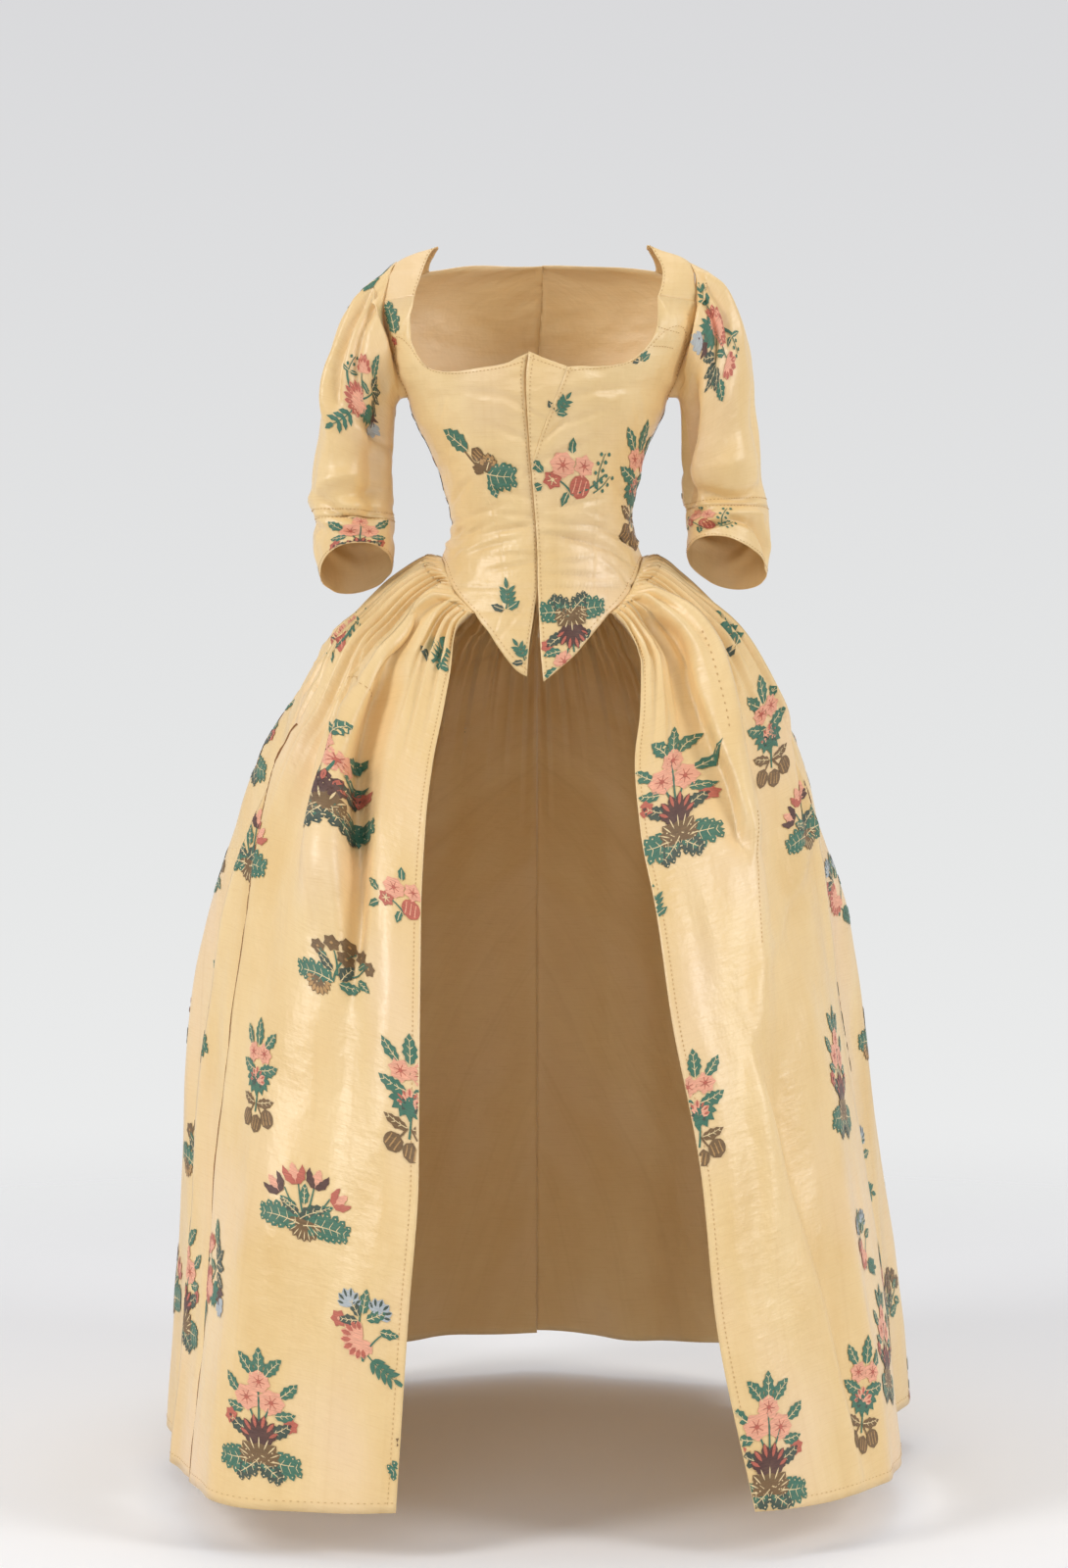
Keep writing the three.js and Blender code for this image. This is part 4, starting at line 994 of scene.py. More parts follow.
def skirt_surface(side):
    """Half the skirt without its pleats: its points, its map, and its falls and shares from the waist."""
    share = np.linspace(0, 1, SKIRT_COLUMNS + 1)
    stations = np.concatenate([np.linspace(SKIRT_START, SIDE_SEAM, STRIPS["front"] + 1),
                               np.linspace(SIDE_SEAM, BACK_SEAM, STRIPS["side"] + 1)[1:],
                               np.linspace(BACK_SEAM, 180, STRIPS["back"] + 1)[1:]])
    turns = np.interp(share * (len(stations) - 1), np.arange(len(stations)), stations)
    seam = torso_point(on_waist_seam(side, turns)[None])[0]
    falls = SKIRT["fall"][-1] * np.linspace(0, 1, SKIRT_ROWS + 1) ** ROW_SPREAD
    free = SKIRT["fall"][1]
    plain, spread = [], []
    for fall in falls:
        ring = {name: float(v) for name, v in rows_at(SKIRT, "fall", max(fall, free)).items()}
        points, normal = half_ring(side, ring)
        height = ring["level"] + ring["follow"] * (seam_height(turns) - SEAM_LEVEL)
        here = np.concatenate([points, height[:, None]], axis=1)
        direction = np.concatenate([normal, np.zeros((len(share), 1))], axis=1)
        folded = here + direction * fold_depth(FOLDS[side], share, height)[:, None]
        if fall < free:
            # Above the first free ring the cloth curves out from the waist seam.
            t = fall / free
            lead = np.array([math.sin(t * math.pi / 2)] * 2 + [t])
            here = seam * (1 - lead) + here * lead
            folded = seam * (1 - lead) + folded * lead
        plain.append(here)
        spread.append(folded)
    plain, spread = np.array(plain), np.array(spread)
    along = np.gradient(plain, axis=1)
    along /= np.linalg.norm(along, axis=-1, keepdims=True)
    step = np.diff(plain, axis=0)
    step = step - (step * along[1:]).sum(-1, keepdims=True) * along[1:]
    down = np.concatenate([np.zeros((1, len(share))), np.cumsum(np.linalg.norm(step, axis=-1), axis=0)])
    return spread, np.stack([lengths(plain, 1), down], -1), falls, share


def pleated(surface, out, falls, share):
    """The surface with its knife pleats, worked by the pleat tree on a single sheet."""
    rows, columns = surface.shape[:2]
    faces = quads(np.arange(rows * columns).reshape(rows, columns))
    sheet = new_object("pleating", surface.reshape(-1, 3), faces)
    grids = {"share": np.broadcast_to(share, (rows, columns)),
             "fall": np.broadcast_to(falls[:, None] * MM, (rows, columns))}
    for name, values in grids.items():
        sheet.data.attributes.new(name, "FLOAT", "POINT").data.foreach_set("value", values.ravel())
    sheet.data.attributes.new("out", "FLOAT_VECTOR", "POINT").data.foreach_set("vector", out.ravel())
    run_tree(sheet, PLEATS, {"Pleats": PLEAT_COUNT, "Depth": PLEAT_DEPTH * MM, "Reach": PLEAT_REACH * MM})
    points = np.empty(rows * columns * 3)
    sheet.data.vertices.foreach_get("co", points)
    bpy.data.objects.remove(sheet)
    return (points.reshape(rows, columns, 3) - (0, 0, HEM)) / MM


# ---- creases ----
BODICE_RELIEF = 3.3            # each table of creases is worked out for gentle light and then deepened
SLEEVE_RELIEF = 2.3
LAP_STEP = 0.9                 # height of the upper cloth at a lapped seam
LAP_GROOVE = 0.6               # depth of the groove beside it
LATTICE = 64


def creases(rows, cloth_map):
    """Soft troughs and ridges: each runs along its own line, deepest in its middle. Negative goes in."""
    total = np.zeros(cloth_map.shape[:2])
    for across, level, lean, length, width, depth in zip(*rows.values()):
        x, y = cloth_map[..., 0] - across, cloth_map[..., 1] - level
        c, s = math.cos(math.radians(lean)), math.sin(math.radians(lean))
        total += depth * np.exp(-((x * c + y * s) / length) ** 2 - ((y * c - x * s) / width) ** 2)
    return total


def fold_lines(folds, cloth_map):
    """Long folds that follow lines of across, level points. Each has its depth, the widths of its two
    sides (the lower across first) and the length over which its ends die away. Negative goes in."""
    total = np.zeros(cloth_map.shape[:2])
    level = cloth_map[..., 1]
    for line, depth, before, after, fade in folds:
        line = np.array(line, float)
        aside = cloth_map[..., 0] - smooth_line(line, level)
        top, bottom = line[0, 1], line[-1, 1]
        ends = smooth_step(top - fade, top + fade, level) * smooth_step(-bottom - fade, fade - bottom, -level)
        total += depth * np.exp(-(aside / np.where(aside < 0, before, after)) ** 2) * ends
    return total


def smooth_line(line, level):
    """How far across a line of across, level points lies at each level."""
    order = np.argsort(line[:, 1])
    return rows_at({"across": line[order, 0], "level": line[order, 1]}, "level", level)["across"]


def seam_lap(line, cloth_map):
    """A lapped seam along a line of points: a fine groove and a low step that dies away on one side."""
    line = np.array(line, float)
    order = np.argsort(line[:, 1])
    level = cloth_map[..., 1]
    at = np.interp(level, line[order, 1], line[order, 0])
    aside = cloth_map[..., 0] - at
    inside = smooth_step(line[:, 1].min() - 6, line[:, 1].min() + 4, level)
    inside = inside * smooth_step(-line[:, 1].max() - 6, -line[:, 1].max() + 4, -level)
    lap = LAP_STEP * np.exp(-np.maximum(aside, 0) / 7) * smooth_step(-1.2, 1.2, aside)
    return inside * (lap - LAP_GROOVE * np.exp(-(aside / 1.5) ** 2))


FRONT_SEAM = {
    RIGHT: [(-95, 1124), (-79, 1083), (-66, 1052), (-57, 1018), (-46, 984), (-41, 949), (-43, 918),
            (-50, 891)],
    LEFT: [(80, 1087), (65, 1030), (59, 975), (57, 932), (63, 889)],
}
# Places on the bodice are length round the body and height; lean is up to the right, in degrees.
BODICE_CREASES = table(
    "across level lean length width depth",
    (-34, 1002, 8, 34, 3.0, -1.3), (-26, 1016, -6, 26, 2.4, -0.9), (-58, 984, 12, 26, 2.6, -1.1),
    (-24, 978, 4, 28, 2.4, 0.8), (-70, 1020, 14, 24, 2.8, -0.9), (-84, 1000, 18, 22, 3.0, -1.2),
    (-30, 962, 12, 30, 2.4, -1.0), (-92, 978, 20, 20, 2.8, 0.9), (-40, 1040, -10, 30, 3.2, -0.8),
    (-44, 1072, -16, 34, 4.0, -0.8), (-30, 1104, -20, 30, 4.0, -0.8), (-50, 1146, -8, 40, 5.0, -0.9),
    (-16, 1132, -30, 18, 3.0, -0.9), (-108, 1042, 28, 26, 4.0, -0.9), (-112, 1000, 16, 18, 3.0, -1.1),
    (28, 992, -8, 34, 2.8, -1.2), (46, 1006, -4, 34, 2.6, -1.0), (62, 984, -14, 28, 2.8, -1.2),
    (36, 970, 6, 30, 2.4, 0.8), (74, 1016, -12, 24, 2.8, -0.9), (88, 996, -20, 24, 3.0, -1.3),
    (34, 952, -4, 32, 2.4, -1.0), (96, 972, -24, 22, 2.8, -1.2), (84, 956, -30, 22, 2.6, 0.9),
    (44, 1030, 10, 30, 3.2, -0.8), (30, 1086, 24, 30, 4.0, -0.9), (46, 1120, 20, 30, 4.0, -0.7),
    (70, 1150, 8, 36, 5.0, -0.9), (18, 1108, 40, 18, 3.0, -0.9), (108, 1042, -28, 26, 4.0, -0.9),
    (112, 990, -22, 20, 3.0, -1.2), (104, 944, -34, 20, 2.8, -1.0), (-118, 1130, 64, 24, 5, -0.5),
    (122, 1132, -64, 24, 5, -0.5), (-60, 938, 0, 46, 1.6, -0.7), (56, 939, 0, 50, 1.6, -0.7),
    (-34, 911, 0, 26, 1.6, -0.6), (-30, 905, 50, 30, 2.4, -0.6), (34, 900, -48, 30, 2.4, -0.6),
    (-142, 1010, 4, 26, 3.0, -1.0), (142, 1012, -4, 26, 3.0, -1.0), (-146, 984, -10, 24, 3.0, 0.9),
    (148, 986, 10, 24, 3.0, 0.9), (-200, 990, 5, 34, 3.2, -1.1), (200, 992, -5, 34, 3.2, -1.1),
    (-240, 1012, -3, 40, 3.0, -0.9), (245, 1010, 3, 40, 3.0, -0.9), (-40, 1180, 6, 18, 2.4, -0.7),
    (-76, 1178, -4, 16, 2.4, -0.7), (-12, 1060, 30, 14, 2.6, -0.8), (12, 1060, -24, 14, 2.6, -0.8),
)
# Places on a sleeve are length round it from its outer line and length down it.
SLEEVE_CREASES = {
    RIGHT: table(
        "across level lean length width depth",
        (-118, 116, -11, 30, 5, -3.6), (-112, 132, -14, 34, 9, 2.4), (-70, 221, -29, 26, 6, -4.4),
        (-68, 190, 28, 30, 8, 3.0), (-100, 214, 4, 26, 8, 2.4), (-110, 196, 20, 24, 6, -2.6),
        (-62, 240, -38, 20, 5, 2.2), (-82, 252, -30, 24, 4.5, -2.6), (-30, 236, -20, 24, 6, -2.6),
        (-128, 220, 6, 22, 5, -2.0), (-20, 210, 14, 24, 7, 2.2), (80, 220, -8, 44, 6, -4.0),
        (100, 246, 6, 36, 6, -3.4), (96, 190, 12, 34, 9, 3.0), (70, 150, 50, 44, 10, -3.0),
        (40, 252, 20, 30, 5, -2.4), (130, 120, 60, 40, 8, -3.0),
    ),
    LEFT: table(
        "across level lean length width depth",
        (-107, 201, 26, 20, 6, -3.6), (-82, 209, 4, 26, 7, -4.4), (-50, 204, -14, 24, 7, -4.0),
        (-88, 172, 0, 36, 20, 3.6), (-60, 226, -6, 34, 7, 2.6), (-104, 240, -27, 22, 4.5, 2.6),
        (-108, 250, -27, 24, 4.5, -2.6), (-74, 238, 8, 24, 5, -3.0), (-46, 252, 46, 24, 5, -3.0),
        (-36, 242, 50, 26, 5, 2.4), (-130, 226, -8, 22, 6, -2.4), (84, 224, -6, 44, 6, -4.0),
        (104, 248, 8, 36, 6, -3.4), (94, 194, 10, 34, 9, 3.0), (72, 146, 54, 44, 10, -3.0),
        (40, 250, 24, 30, 5, -2.4), (130, 124, 58, 40, 8, -3.0),
    ),
}
SLEEVE_FOLDS = {
    RIGHT: [
        ([(-56, 14), (-70, 30), (-86, 60), (-96, 84)], -4, 6, 9, 14),
        ([(-40, 20), (-50, 40), (-62, 70), (-70, 110)], -4, 6, 9, 18),
        ([(-30, 20), (-42, 50), (-52, 84), (-60, 130)], 3, 7, 8, 20),
        ([(-22, 12), (-26, 40), (-34, 80)], -3, 5, 7, 16), ([(-8, 12), (-6, 40), (-8, 70)], -3, 5, 7, 16),
        ([(10, 12), (16, 40), (20, 76)], -3, 6, 6, 16), ([(28, 14), (40, 44), (48, 90)], -4, 8, 7, 20),
        ([(-136, 60), (-128, 120), (-120, 180), (-112, 230)], -6, 18, 20, 50),
        ([(-60, 90), (-66, 150), (-62, 200)], 3, 18, 20, 40),
        ([(120, 50), (116, 150), (106, 230)], -6, 20, 20, 50),
    ],
    LEFT: [
        ([(-150, 50), (-147, 98), (-144, 135), (-143, 180), (-138, 206)], -8, 24, 11, 30),
        ([(-124, 70), (-120, 98), (-120, 127), (-129, 163), (-130, 180)], 4, 7, 24, 24),
        ([(-64, 10), (-76, 26), (-90, 44), (-104, 60)], -4, 7, 8, 12),
        ([(-50, 12), (-58, 30), (-70, 60)], -3.4, 5, 8, 14),
        ([(-36, 14), (-40, 36), (-44, 70)], 2.6, 6, 7, 16),
        ([(-20, 12), (-20, 40), (-22, 64)], -3, 5, 7, 16), ([(0, 12), (4, 40), (6, 66)], -3, 6, 6, 16),
        ([(20, 14), (28, 44), (34, 80)], -3.6, 7, 7, 18),
        ([(-30, 100), (-24, 150), (-28, 190)], -3, 16, 14, 40),
        ([(120, 50), (116, 150), (106, 230)], -6, 20, 20, 50),
    ],
}
# Places on the skirt are length round from the front edge and length down from the waist.
SKIRT_CREASES = {
    RIGHT: table(
        "across level lean length width depth",
        (105, 156, 8, 34, 5, -3.0), (120, 196, 24, 26, 7, 3.0), (118, 262, 60, 34, 9, -3.0),
        (215, 160, 120, 60, 9, -4.0), (240, 200, 118, 70, 9, 4.0), (330, 200, 112, 110, 11, -5.0),
        (400, 220, 110, 120, 12, -5.0), (470, 200, 100, 110, 12, 5.0), (560, 210, 96, 110, 12, -5.0),
        (300, 760, 94, 220, 22, -4.0), (480, 780, 92, 240, 22, 5.0), (620, 760, 90, 240, 22, -5.0),
        (760, 800, 88, 240, 22, 5.0), (36, 560, 80, 60, 14, -1.6), (206, 560, 96, 120, 14, 2.0),
        (60, 740, 70, 90, 16, -2.0), (190, 900, 96, 110, 16, -2.4), (30, 1000, 90, 70, 12, 2.0),
    ),
    LEFT: table(
        "across level lean length width depth",
        (205, 415, -36, 84, 8, 4.5), (216, 432, -36, 80, 9, -3.5), (250, 250, 66, 70, 8, -5.0),
        (330, 210, 112, 110, 11, -5.0), (400, 220, 110, 120, 12, 5.0), (480, 220, 104, 120, 12, -5.0),
        (520, 780, 92, 240, 22, 5.0), (660, 760, 90, 240, 22, -5.0), (800, 760, 90, 240, 22, 5.0),
        (60, 420, 84, 70, 14, -2.0), (180, 560, 110, 110, 16, 2.4), (150, 640, 100, 130, 14, -2.0),
        (60, 880, 76, 110, 16, 2.2), (110, 960, 80, 90, 14, -2.0), (200, 820, 84, 110, 16, 2.4),
    ),
}
SKIRT_FOLDS = {
    RIGHT: [
        ([(44, 20), (60, 100), (69, 175), (75, 244), (74, 312), (72, 380), (78, 480)], -21, 9, 12, 50),
        ([(62, 130), (73, 190), (75, 260), (74, 340)], -17, 8, 8, 30),
        ([(30, 60), (44, 160), (50, 260), (50, 400)], 5, 14, 14, 70),
        ([(98, 140), (102, 220), (102, 300), (98, 400)], 14, 16, 26, 50),
        ([(122, 150), (140, 190), (148, 217), (155, 260), (160, 300)], 6, 14, 4.5, 24),
        ([(131, 150), (149, 190), (157, 217), (166, 262), (174, 310)], -9, 4.5, 15, 30),
        ([(204, 246), (233, 298), (239, 444), (255, 564), (260, 626), (283, 765), (285, 1090)],
         5, 50, 4.5, 16),
        ([(213, 246), (242, 298), (248, 444), (264, 564), (269, 626), (292, 765), (294, 1090)],
         -6, 4.5, 20, 16),
        ([(172, 330), (178, 500), (186, 760), (200, 1100)], 6, 34, 30, 120),
        ([(92, 460), (88, 560), (96, 800), (110, 1100)], -8, 28, 34, 110),
        ([(30, 300), (34, 600), (40, 1100)], 4, 14, 20, 120),
    ],
    LEFT: [
        ([(35, 20), (52, 69), (63, 135), (82, 201), (102, 263), (111, 300), (123, 345)], 8, 3, 40, 24),
        ([(29, 20), (46, 69), (57, 135), (76, 201), (95, 263), (104, 300), (116, 345)], -16, 18, 3, 24),
        ([(32, 20), (49, 69), (60, 135), (79, 201), (99, 263), (108, 300), (119, 340)], -7, 3, 3.5, 20),
        ([(122, 330), (126, 380), (119, 451), (104, 520), (84, 600), (76, 760)], 5, 14, 18, 70),
        ([(152, 330), (158, 380), (152, 451), (140, 520), (122, 610), (112, 760)], -6, 15, 26, 70),
        ([(147, 80), (186, 170), (220, 250), (234, 340)], 7, 18, 5, 40),
        ([(156, 80), (196, 170), (231, 250), (246, 340)], -9, 5, 18, 40),
        ([(30, 420), (30, 700), (26, 1100)], 5, 24, 24, 110),
        ([(96, 560), (112, 660), (132, 760), (150, 860), (160, 1000)], -8, 9, 30, 60),
        ([(78, 560), (92, 660), (110, 760), (128, 860), (138, 1000)], 5, 26, 12, 60),
        ([(196, 560), (204, 760), (206, 1100)], 6, 20, 26, 110),
    ],
}


def crumpled(cloth_map, across, down, seed):
    """Soft unevenness from -1 to 1: random heights at the points of a lattice, joined smoothly. The shifts
    keep each piece's own middle lines off the lattice."""
    heights = np.random.default_rng(seed).uniform(-1, 1, (LATTICE, LATTICE))
    x, y = cloth_map[..., 0] / across + 20.3, cloth_map[..., 1] / down + 20.7
    i, j = np.floor(x).astype(int) % LATTICE, np.floor(y).astype(int) % LATTICE
    beside, below = (i + 1) % LATTICE, (j + 1) % LATTICE
    u, v = smooth_step(0, 1, x - np.floor(x)), smooth_step(0, 1, y - np.floor(y))
    first = heights[i, j] * (1 - u) + heights[beside, j] * u
    second = heights[i, below] * (1 - u) + heights[beside, below] * u
    return first * (1 - v) + second * v


def creased(grid, move, loop=False):
    """The grid moved out by so much at each point."""
    normal = outward(grid, loop)[0]
    if loop:
        move = move[:, :-1]
    return grid + normal * move[..., None]


# ---- brocaded sprigs ----
DYES = {
    "pink": "#F6AE90", "rose": "#C4604F", "teal": "#23705D", "green": "#234640", "brown": "#735532",
    "aubergine": "#4B2328", "grey": "#B4BEC4", "cream": "#F0D6A2", "fawn": "#C0935A",
}
# A stroke of floss is: dye, x, y, heading, length, width, bend, form, layer. Sizes are millimetres, x to
# the right and y upwards; it starts at x, y, heads in a direction and bends as it goes.
FORMS = {
    "leaf": lambda t: np.sin(math.pi * t ** 0.8) ** 0.85,
    "petal": lambda t: t ** 0.55 * np.sqrt(np.maximum(1 - t ** 5, 0)) + 0.04,
    "stem": lambda t: 0.6 + 0.4 * (1 - t),
    "pod": lambda t: np.sqrt(np.maximum(1 - (2 * t - 1) ** 2, 0)),
}


def bent(x, y, heading, length, bend, count):
    """Points along a line that bends as it goes, and the heading at each in degrees."""
    turns = heading + bend * (np.linspace(0, 1, count + 1) - 0.5)
    ahead = np.stack([np.cos(np.radians(turns)), np.sin(np.radians(turns))], -1)
    steps = (ahead[1:] + ahead[:-1]) / 2 * length / count
    return np.array([x, y]) + np.concatenate([[[0, 0]], np.cumsum(steps, axis=0)]), turns


def leaf(x, y, heading, length, width, bend=0, dye="teal"):
    """A toothed leaf with its midrib and side veins left in the ground's colour."""
    spots, turns = bent(x, y, heading, length, bend, 8)
    strokes = [(dye, x, y, heading, length, width, bend, "leaf", 0),
               ("cream", x, y, heading, length * 0.76, 1.0, bend * 0.76, "stem", 1)]
    for i in (2, 4, 6) if length > 19 else ():
        for lean in (-44, 44):
            strokes.append(("cream", *spots[i], turns[i] + lean, width * 0.3, 0.8, 0, "stem", 1))
    return strokes


def scalloped(x, y, heading, length, width, bend, dye="teal", lobes=5):
    """A broad leaf with rounded lobes, a pale spot in each."""
    spots, turns = bent(x, y, heading, length, bend, lobes * 2)
    strokes = [(dye, x, y, heading, length * 1.08, width * 0.7, bend, "leaf", 0),
               ("cream", x, y, heading, length * 0.84, 1.2, bend * 0.84, "stem", 1)]
    for i in range(1, lobes * 2, 2):
        reach = width * 0.3 + width * 0.26 * math.sin(math.pi * (i / (2 * lobes)) ** 0.8)
        for lean in (-64, 64):
            turn = math.radians(turns[i] + lean)
            strokes.append((dye, *spots[i], turns[i] + lean, reach, length / lobes * 1.15, 0, "petal", 0))
            spot = spots[i] + reach * 0.68 * np.array([math.cos(turn), math.sin(turn)])
            strokes.append(("cream", *spot, turns[i] + lean, 1.7, 1.7, 0, "pod", 2))
            strokes.append(("cream", *spots[i], turns[i] + lean, reach * 0.45, 0.8, 0, "stem", 1))
    return strokes


def fan(x, y, heading, spread, count, length, width, dye, tip=None, form="petal", tip_share=0.55, layer=0):
    """Petals that spread from one point, longest in the middle, their tips in a second dye."""
    strokes = []
    for k in range(count):
        lean = spread * (k / (count - 1) - 0.5)
        reach = length * (1 - 0.22 * abs(2 * k / (count - 1) - 1) ** 2)
        strokes.append((dye, x, y, heading + lean, reach, width, 0, form, layer))
        if tip:
            turn = math.radians(heading + lean)
            spot = (x + 0.5 * reach * math.cos(turn), y + 0.5 * reach * math.sin(turn))
            strokes.append((tip, *spot, heading + lean, reach * 0.48, width * tip_share, 0, "pod", layer + 1))
    return strokes


def daisy(x, y, size, dye="pink", heart="rose", petals=7, turned=20):
    """An open flower seen from the front: round petals, a ring of short threads and a heart."""
    strokes = []
    for k in range(petals):
        turn = turned + 360 / petals * k
        strokes.append((dye, x, y, turn, size / 2, size * 0.46, 0, "petal", 0))
        if size > 18:
            strokes.append((heart, x, y, turn, size * 0.27, 1.1, 0, "stem", 1))
    strokes.append((heart, x - size * 0.1, y, 0, size * 0.2, size * 0.18, 0, "pod", 2))
    return strokes


def tulip(x, y, heading, size, outer="aubergine"):
    """A flower seen from the side: a pink inner petal held by two outer ones."""
    return [("pink", x, y, heading, size * 0.95, size * 0.5, 0, "leaf", 0),
            (outer, x, y, heading + 30, size, size * 0.36, -52, "leaf", 1),
            (outer, x, y, heading - 30, size, size * 0.36, 52, "leaf", 1)]


def fruit(x, y, size, dye="brown", hatch="fawn", heading=80):
    """A round pod with paler ribs."""
    c, s = math.cos(math.radians(heading)), math.sin(math.radians(heading))
    strokes = [(dye, x - c * size / 2, y - s * size / 2, heading, size, size * 0.84, 0, "pod", 0)]
    for aside in (-0.2, 0.02, 0.24):
        start = (x - c * size * 0.3 - s * aside * size, y - s * size * 0.3 + c * aside * size)
        strokes.append((hatch, *start, heading, size * 0.6, 1.3, 50 * aside, "stem", 1))
    return strokes


def leaflets(x, y, heading, length, bend, pairs, size):
    """A leaf of narrow leaflets in pairs along a stalk."""
    spots, turns = bent(x, y, heading, length, bend, pairs + 1)
    strokes = [("teal", x, y, heading, length, 1.6, bend, "stem", 0)]
    for i in range(1, pairs + 1):
        for lean in (-46, 46):
            strokes.append(("teal", *spots[i], turns[i] + lean, size, size * 0.38, 0, "leaf", 0))
    strokes.append(("teal", *spots[-1], turns[-1], size, size * 0.38, 0, "leaf", 0))
    return strokes


def berries(x, y, heading, length, bend, count, size):
    """Round berries set along both sides of a fine stalk."""
    spots, turns = bent(x, y, heading, length, bend, count)
    strokes = [("teal", x, y, heading, length, 1.3, bend, "stem", 0)]
    for i in range(1, count + 1):
        turn = math.radians(turns[i] + (70 if i % 2 else -70))
        spot = spots[i] + (size * math.cos(turn) - size / 2, size * math.sin(turn))
        strokes.append(("teal", *spot, 0, size, size, 0, "pod", 0))
    return strokes


def stem(x, y, heading, length, bend, dye="teal", width=2.2):
    return [(dye, x, y, heading, length, width, bend, "stem", 0)]


